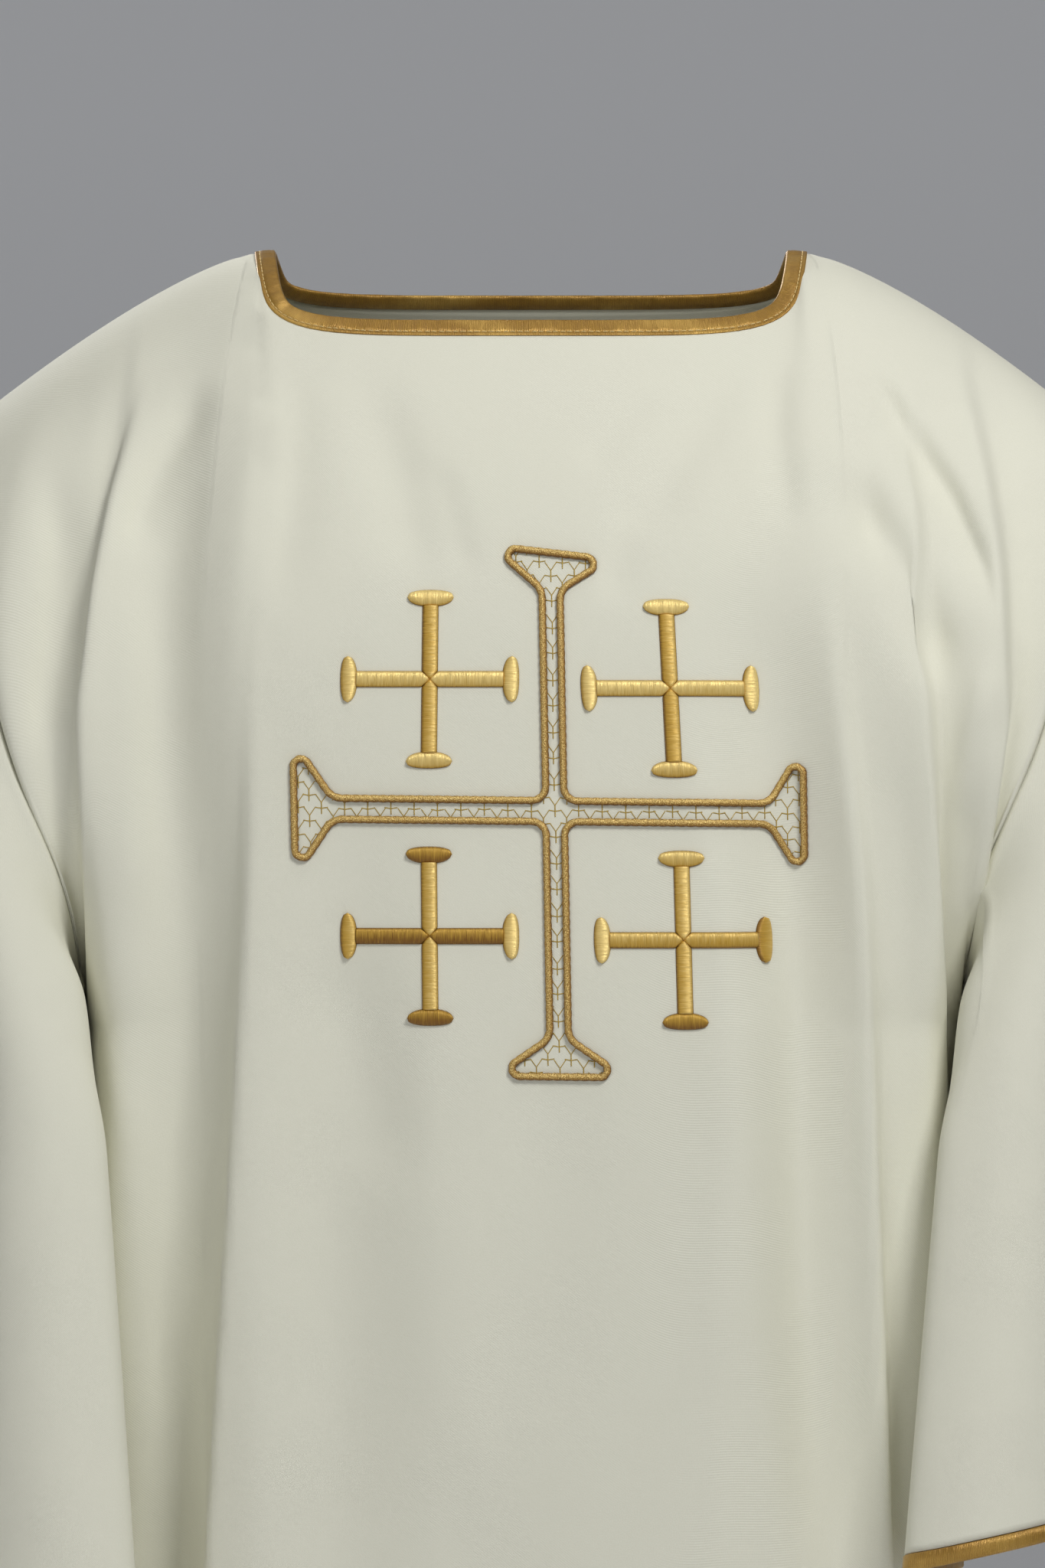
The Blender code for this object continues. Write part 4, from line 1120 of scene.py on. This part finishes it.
def pad_ends(stations, corners):
    """The flat ends of a raised pad: at its first and last station, faces between its arch and its back."""
    i = np.arange(corners // 2)
    ladder = np.stack([i, i + 1, (corners - 2 - i) % corners, corners - 1 - i], -1)
    ladder = ladder[(np.diff(np.sort(ladder, 1), axis=1) > 0).all(1)]
    return np.concatenate([ladder, ladder + (stations - 1) * corners])


def small_cross(cross, front, finish):
    """A small cross in raised satin stitch: four bars that meet in a point, each with an oval end pad that is
    flatter on its outer side. The thread is painted lighter on each part's upper and right flank, as light, and
    painted brown as shade where it enters the cloth."""
    bar_at = mix(BAR_START, PAD_INNER + BAR_UNDER_PAD, np.linspace(0, 1, BAR_STATIONS))
    bar_half = BAR_HALF_WIDTH * np.minimum(1, bar_at / BAR_HALF_WIDTH) ** BAR_POINT_POWER
    p = np.linspace(-1, 1, PAD_STATIONS)
    round_end = np.sqrt(np.maximum(1 - np.abs(p) ** PAD_END_POWER, PAD_END_WIDTH))
    ends_at = mix(PAD_INNER, PAD_OUTER, PAD_ENDS)
    pad_inner = ends_at - (ends_at - PAD_INNER) * round_end**PAD_INNER_POWER
    pad_outer = ends_at + (PAD_OUTER - ends_at) * round_end**PAD_OUTER_POWER
    points, faces, threads, all_painted_shading = [], [], [], []
    total = 0
    for turns, way in enumerate(BAR_WAYS):
        along = np.array(way, float)
        beside = np.array([along[1], -along[0]])
        bar_edges = [along * bar_at[:, None] + beside * hand * bar_half[:, None] for hand in (-1, 1)]
        length = beside * (p * PAD_HALF_LENGTH)[:, None]
        pad_edges = [along * edge[:, None] + length for edge in (pad_inner, pad_outer)]
        # The flank of each bar and pad that is painted lighter, as light: the one towards the upper right
        bar_painted_light_side = 1 if turns < 2 else -1
        pad_painted_light_side = 1 if turns in (0, 3) else -1
        for edges, height, tone, light in (
            (bar_edges, BAR_HEIGHT, cross.bars[turns], bar_painted_light_side),
            (pad_edges, PAD_HEIGHT, cross.pads[turns], pad_painted_light_side),
        ):
            places, lift, painted_shading = raised(*edges, height, tone, light)
            leaning = np.stack([places[..., 0] - cross.lean * places[..., 1], places[..., 1]], -1)
            point, normal = on_cloth(front, leaning + np.array([cross.x, cross.z]))
            new_points, new_faces, new_threads = tube(point + normal * lift[..., None], closed=False)
            ends = pad_ends(*places.shape[:2])
            points.append(new_points)
            faces += [new_faces + total, ends + total]
            threads += [new_threads, np.zeros((len(ends), 4, 2))]
            all_painted_shading.append(painted_shading.ravel())
            total += len(new_points)
    points, faces, threads, all_painted_shading = (np.concatenate(rows) for rows in (points, faces, threads, all_painted_shading))
    return lay("small_cross_stitch_" + cross.name, points, faces, threads, finish, all_painted_shading)


class Value:
    """A number or colour that changes over the surface. Operators on it add Math nodes."""

    def __init__(self, finish, socket):
        self.finish = finish
        self.socket = socket

    def maths(self, operation, *others):
        """One Math node over numbers or values."""
        inputs = dict(enumerate(others))
        return self.finish.node("ShaderNodeMath", {"operation": operation}, inputs)

    def __add__(self, other):
        return self.maths("ADD", self, other)

    def __sub__(self, other):
        return self.maths("SUBTRACT", self, other)

    def __rsub__(self, other):
        return self.maths("SUBTRACT", other, self)

    def __mul__(self, other):
        return self.maths("MULTIPLY", self, other)

    __radd__ = __add__
    __rmul__ = __mul__


class Finish:
    """A material built from nodes: node() adds one, the rest are the few that every cloth here needs. along and
    across are the ways over the piece's own threads in millimetres, and place is the point in space."""

    def __init__(self, name, **constants):
        self.material = bpy.data.materials.new(name)
        self.material.use_nodes = True
        self.tree = self.material.node_tree
        self.shader = self.tree.nodes["Principled BSDF"]
        for socket, value in constants.items():
            self.shader.inputs[socket.replace("_", " ")].default_value = value
        threads = self.node("ShaderNodeUVMap", {"uv_map": "threads"}, {}, "UV")
        parts = self.tree.nodes.new("ShaderNodeSeparateXYZ")
        self.tree.links.new(threads.socket, parts.inputs[0])
        self.along = Value(self, parts.outputs[0]) * 1000
        self.across = Value(self, parts.outputs[1]) * 1000
        self.place = self.node("ShaderNodeTexCoord", {}, {}, "Object")

    def node(self, kind, settings, inputs, output=0):
        """One node: its settings are set first, then its sockets from numbers, colours or other values."""
        node = self.tree.nodes.new(kind)
        for name, value in settings.items():
            setattr(node, name, value)
        for name, value in inputs.items():
            if isinstance(value, Value):
                self.tree.links.new(value.socket, node.inputs[name])
            else:
                node.inputs[name].default_value = value
        return Value(self, node.outputs[output])

    def wave(self, value, pitch):
        """A sine of the value with the given pitch, from 0 to 1."""
        turns = value * (2 * np.pi / pitch)
        return turns.maths("SINE", turns) * 0.5 + 0.5

    def noise(self, x, y, detail=2.0):
        """Noise over two ways across the cloth, from about 0 to 1."""
        vector = self.node("ShaderNodeCombineXYZ", {}, {0: x, 1: y})
        return self.node("ShaderNodeTexNoise", {}, {"Vector": vector, "Scale": 1.0, "Detail": detail})

    def cloud(self, scale):
        """Noise in space, from about 0 to 1."""
        return self.node("ShaderNodeTexNoise", {}, {"Vector": self.place, "Scale": scale, "Detail": 2.0})

    def tone(self):
        """The painted light and shade that the mesh carries at each point."""
        return self.node("ShaderNodeAttribute", {"attribute_name": "tone"}, {}, "Fac")

    def blend(self, share, first, second):
        """From one colour to another."""
        inputs = {0: share, 6: first, 7: second}
        return self.node("ShaderNodeMix", {"data_type": "RGBA", "clamp_factor": True}, inputs, 2)

    def ramp(self, value, low, high):
        """0 below the low value and 1 above the high one."""
        inputs = {"Value": value, "From Min": low, "From Max": high}
        return self.node("ShaderNodeMapRange", {"interpolation_type": "SMOOTHSTEP"}, inputs)

    def bump(self, height, depth, under=None):
        """A relief of the given height in millimetres, on top of another one."""
        inputs = {"Height": height, "Distance": depth * MM, "Strength": 1.0}
        if under is not None:
            inputs["Normal"] = under
        return self.node("ShaderNodeBump", {}, inputs)

    def done(self, colour, roughness, normal, metallic=None):
        """The material, with what changes over its surface linked to its shader."""
        ends = {"Base Color": colour, "Roughness": roughness, "Normal": normal}
        if metallic is not None:
            ends["Metallic"] = metallic
        for name, value in ends.items():
            self.tree.links.new(value.socket, self.shader.inputs[name])
        return self.material


IVORY = (0.815, 0.805, 0.685, 1)
IVORY_SHADE = (0.765, 0.755, 0.625, 1)
# The light and deep golds are also painted highlight and painted shade, where the pieces' painted light picks
# them
GOLD_LIGHT_AND_PAINTED_HIGHLIGHT = (0.98, 0.75, 0.29, 1)
GOLD = (0.60, 0.35, 0.04, 1)
GOLD_DEEP_AND_PAINTED_SHADE = (0.21, 0.085, 0.006, 1)
CORD_GOLD = (0.46, 0.255, 0.05, 1)
CORD_DEEP_AND_PAINTED_SHADE = (0.17, 0.07, 0.012, 1)
SATIN_LIGHT = (0.76, 0.49, 0.13, 1)
SATIN = (0.47, 0.265, 0.04, 1)
SATIN_DEEP_AND_PAINTED_SHADE = (0.28, 0.14, 0.02, 1)
# The pitches of the twill's ribs, the tape's ribs, the satin stitch's threads and the sewing threads' twist
TWILL_RIB = 1.15
SATIN_RIB = 0.64
SATIN_THREAD = 0.45
THREAD_TWIST = 0.55


def ivory_twill(name):
    """Matte twill: fine slanting ribs that show in patches, a close grain and a faint unevenness."""
    f = Finish(name, Sheen_Weight=0.10, Sheen_Roughness=0.5, Specular_IOR_Level=0.2)
    ribs = f.wave(f.across - f.along * 0.8, TWILL_RIB)
    grain = f.noise(f.along * 1.5, f.across * 1.5)
    picks = f.noise(f.along * 0.35, f.across * 1.7)
    cloud = f.cloud(24.0)
    shown_ribs = (ribs - 0.5) * f.ramp(cloud, 0.35, 0.6)
    shade = f.ramp(grain * 0.7 + picks * 0.3 + shown_ribs * 0.45 + cloud * 0.25, 0.25, 0.95)
    colour = f.blend(shade, IVORY_SHADE, IVORY)
    relief = f.bump(shown_ribs, 0.05, f.bump(grain, 0.05, f.bump(f.cloud(60.0), 0.25)))
    return f.done(colour, 0.84 + grain * 0.1, relief)


def gold_satin(name):
    """Satin tape: fine ribs across it, lighter and deeper stretches, a soft gloss, and painted shade that makes
    its hollows browner.
    """
    f = Finish(name, Specular_IOR_Level=0.6, Sheen_Weight=0.05)
    ribs = f.wave(f.along + f.noise(f.along * 0.6, f.across * 0.3) * 0.9, SATIN_RIB)
    stretch = f.ramp(f.noise(f.along * 0.021, f.across * 0.05, 1.0), 0.42, 0.68)
    pucker = f.noise(f.along * 0.35, f.across * 0.12)
    glint = f.noise(f.along * 3.0, f.across * 1.4)
    share = f.ramp(ribs * 0.35 + pucker * 0.5 + glint * 0.45, 0.35, 1.0)
    deep, light = f.blend(share, SATIN_DEEP_AND_PAINTED_SHADE, SATIN), f.blend(share, SATIN, SATIN_LIGHT)
    colour = f.blend(stretch * 0.75, deep, light)
    relief = f.bump(ribs, 0.08, f.bump(pucker, 0.35))
    return f.done(colour, 0.28 + glint * 0.2, relief, 0.30 + pucker * 0.2)


def gold_cord(name):
    """A cord of fine metal thread: bright grains close together, with a painted highlight on its crown and
    painted brown shade on its flanks.
    """
    f = Finish(name, Specular_IOR_Level=0.6)
    grain = f.noise(f.along * 1.5 + f.across * 0.5, f.across * 1.5 - f.along * 0.5)
    spark = f.noise(f.along * 3.4, f.across * 3.4, 1.0)
    lit = f.tone() * 1.1 - 0.12 + (grain - 0.5) * 2.0 + (spark - 0.5) * 1.9
    deep = f.ramp(lit, -0.05, 0.62)
    bright = f.ramp(lit, 0.62, 1.2)
    colour = f.blend(bright, f.blend(deep, CORD_DEEP_AND_PAINTED_SHADE, CORD_GOLD), GOLD_LIGHT_AND_PAINTED_HIGHLIGHT)
    relief = f.bump(grain, 0.35, f.bump(spark, 0.2))
    return f.done(colour, 0.30 + grain * 0.25, relief, 0.35 + bright * 0.3)


def gold_satin_stitch(name):
    """Satin stitch in metal thread: fine threads side by side, lighter or browner with the painted light and
    shade that each part carries.
    """
    f = Finish(name, Specular_IOR_Level=0.6)
    thread = f.wave(f.along, SATIN_THREAD)
    grain = f.noise(f.along * 2.6, f.across * 1.5)
    spark = f.noise(f.along * 4.5, f.across * 3.2, 1.0)
    lit = f.tone() + (grain - 0.5) * 0.55 + (spark - 0.5) * 0.5 + (thread - 0.5) * 0.1
    colour = f.blend(f.ramp(lit, 0.3, 1.05), f.blend(f.ramp(lit, -0.1, 0.42), GOLD_DEEP_AND_PAINTED_SHADE, GOLD), GOLD_LIGHT_AND_PAINTED_HIGHLIGHT)
    relief = f.bump(thread, 0.07, f.bump(grain, 0.16))
    return f.done(colour, 0.34 + grain * 0.2, relief, 0.30 + f.ramp(lit, 0.2, 1.0) * 0.25)


def sewing_thread(name, light, deep):
    """A sewing thread: a light and a deeper turn of its twist."""
    f = Finish(name, Specular_IOR_Level=0.4)
    turn = f.wave(f.along + f.across * 2.0, THREAD_TWIST)
    mottle = f.noise(f.along * 1.3, f.across)
    return f.done(f.blend(turn * 0.6 + mottle * 0.4, deep, light), 0.5 + mottle * 0.2, f.bump(turn, 0.05))


# A sheet's cut: width and length in metres, area in square metres
Cut = namedtuple("Cut", "width length area")


def dress():
    """Every piece of the dalmatic: the cloths with what is sewn to each, the bindings and the embroidery."""
    ivory, sleeve_ivory = ivory_twill("ivory twill"), ivory_twill("ivory twill of the sleeves")
    satin = gold_satin("gold satin")
    satin_thread = sewing_thread("gold sewing thread", (1.0, 0.80, 0.38, 1), (0.62, 0.40, 0.12, 1))
    cord_gold = gold_cord("couched gold cord")
    net_gold = sewing_thread("gold net thread", (0.74, 0.52, 0.12, 1), (0.42, 0.28, 0.03, 1))
    ivory_thread = sewing_thread("ivory sewing thread", (0.80, 0.79, 0.68, 1), (0.62, 0.61, 0.48, 1))
    stitch_gold = gold_satin_stitch("gold satin stitch")
    panels = {face: panel_grid(face) for face in ("front", "back")}
    sheets, sewn = {}, {}
    for face, grid in panels.items():
        name = face + "_cloth"
        cloth = shell(name, grid, False, ivory)
        sheets[name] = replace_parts(cloth, face + "_panel")
        sewn[name] = [hem_stitches(face + "_hem_stitches", grid, ivory_thread)]
    neck_tape, neck_stitches = tape("neck_tape", *neck_edge(panels), satin, satin_thread)
    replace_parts(neck_tape, "neck_binding")
    sewn["front_cloth"] += [neck_tape, neck_stitches]
    for sleeve in SLEEVES:
        grid = sleeve_grid(panels, sleeve)
        name = sleeve.name + "_sleeve_cloth"
        cloth = shell(name, grid, True, sleeve_ivory)
        sheets[name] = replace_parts(cloth, sleeve.name + "_sleeve")
        ribbon, row = tape(sleeve.name + "_cuff_tape", *cuff_edge(grid), satin, satin_thread)
        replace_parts(ribbon, sleeve.name + "_cuff_binding")
        sewn[name] = [ribbon, row]
    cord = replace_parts(cross_cord(panels["front"], cord_gold), "large_cross_cord")
    net = cross_net(panels["front"], net_gold)
    sewn["front_cloth"] += [cord, net]
    for cross in SMALL_CROSSES:
        piece = small_cross(cross, panels["front"], stitch_gold)
        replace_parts(piece, "small_cross_" + cross.name)
        sewn["front_cloth"].append(piece)


# The lamps, in metres and watts, and the even light of the room
Lamp = namedtuple("Lamp", "name place aim size power")
LAMPS = [
    Lamp("key", (0.95, -1.6, 1.25), (0, 0, -0.3), 0.7, 31),
    Lamp("front fill", (-1.6, -2.7, 0.0), (0, 0, -0.4), 1.4, 12),
    Lamp("back", (-1.5, 2.3, 1.3), (0, 0, -0.4), 0.9, 52),
    Lamp("top", (0.2, -0.4, 2.2), (0, 0, -0.4), 1.4, 10),
]
STUDIO_AIR = 0.09
# The sweep of paper under and far behind the dalmatic, in metres: a floor, a bend and a wall, and the faint
# light that it gives
FLOOR = -1.35
SWEEP_START = -22.0
SWEEP_WALL = 20.0
SWEEP_BEND = 3.0
SWEEP_HEIGHT = 9.0
SWEEP_HALF_WIDTH = 24.0
SWEEP_STATIONS = 60
PAPER = (0.72, 0.73, 0.75, 1)
PAPER_ROUGHNESS = 0.9
PAPER_GLOW = 0.22
# The camera, in metres, with its lens and sensor in millimetres
CAMERA_PLACE = (-0.004, -4.12, -0.251)
CAMERA_LENS = 200
CAMERA_SENSOR = 36


def into_scene(thing):
    """The object, once it is in the scene."""
    bpy.context.scene.collection.objects.link(thing)
    return thing


def paper_sweep():
    """A pale floor and backdrop in one strip: level, then a quarter circle up, then upright."""
    t = np.linspace(0, 1, SWEEP_STATIONS) * 3
    floor, bend, wall = (np.clip(t - part, 0, 1) for part in range(3))
    turn = bend * np.pi / 2
    x = np.array([-SWEEP_HALF_WIDTH, SWEEP_HALF_WIDTH])
    y = mix(SWEEP_START, SWEEP_WALL - SWEEP_BEND, floor) + SWEEP_BEND * np.sin(turn)
    z = FLOOR + SWEEP_BEND * (1 - np.cos(turn)) + wall * SWEEP_HEIGHT
    points = np.stack(np.broadcast_arrays(x, y[:, None], z[:, None]), -1)
    rows, cols = weave(SWEEP_STATIONS, 2)
    mesh = bpy.data.meshes.new("sweep")
    mesh.from_pydata(points.reshape(-1, 3).tolist(), [], (rows * 2 + cols).tolist())
    mesh.shade_smooth()
    paper = bpy.data.materials.new("pale paper")
    paper.use_nodes = True
    shader = paper.node_tree.nodes["Principled BSDF"]
    shader.inputs["Base Color"].default_value = PAPER
    shader.inputs["Roughness"].default_value = PAPER_ROUGHNESS
    shader.inputs["Emission Color"].default_value = PAPER
    shader.inputs["Emission Strength"].default_value = PAPER_GLOW
    mesh.materials.append(paper)
    into_scene(bpy.data.objects.new("sweep", mesh))


def studio():
    """The backdrop, soft lights and the camera at the photo's angle."""
    paper_sweep()
    for lamp in LAMPS:
        light = bpy.data.lights.new(lamp.name, "AREA")
        light.size = lamp.size
        light.energy = lamp.power
        holder = into_scene(bpy.data.objects.new(lamp.name, light))
        holder.location = lamp.place
        look = np.array(lamp.aim) - np.array(lamp.place)
        flat = np.hypot(look[0], look[1])
        holder.rotation_euler = (np.arctan2(flat, -look[2]), 0, np.arctan2(-look[0], look[1]))
    world = bpy.data.worlds.new("studio air")
    world.use_nodes = True
    background = world.node_tree.nodes["Background"]
    background.inputs["Color"].default_value = (1.0, 1.0, 1.0, 1)
    background.inputs["Strength"].default_value = STUDIO_AIR
    bpy.context.scene.world = world
    camera = bpy.data.cameras.new("camera")
    camera.lens = CAMERA_LENS
    camera.sensor_width = CAMERA_SENSOR
    holder = into_scene(bpy.data.objects.new("camera", camera))
    holder.location = CAMERA_PLACE
    holder.rotation_euler = (np.pi / 2, 0, 0)
    bpy.context.scene.camera = holder
    bpy.context.scene.view_settings.view_transform = "Standard"


dress()
studio()
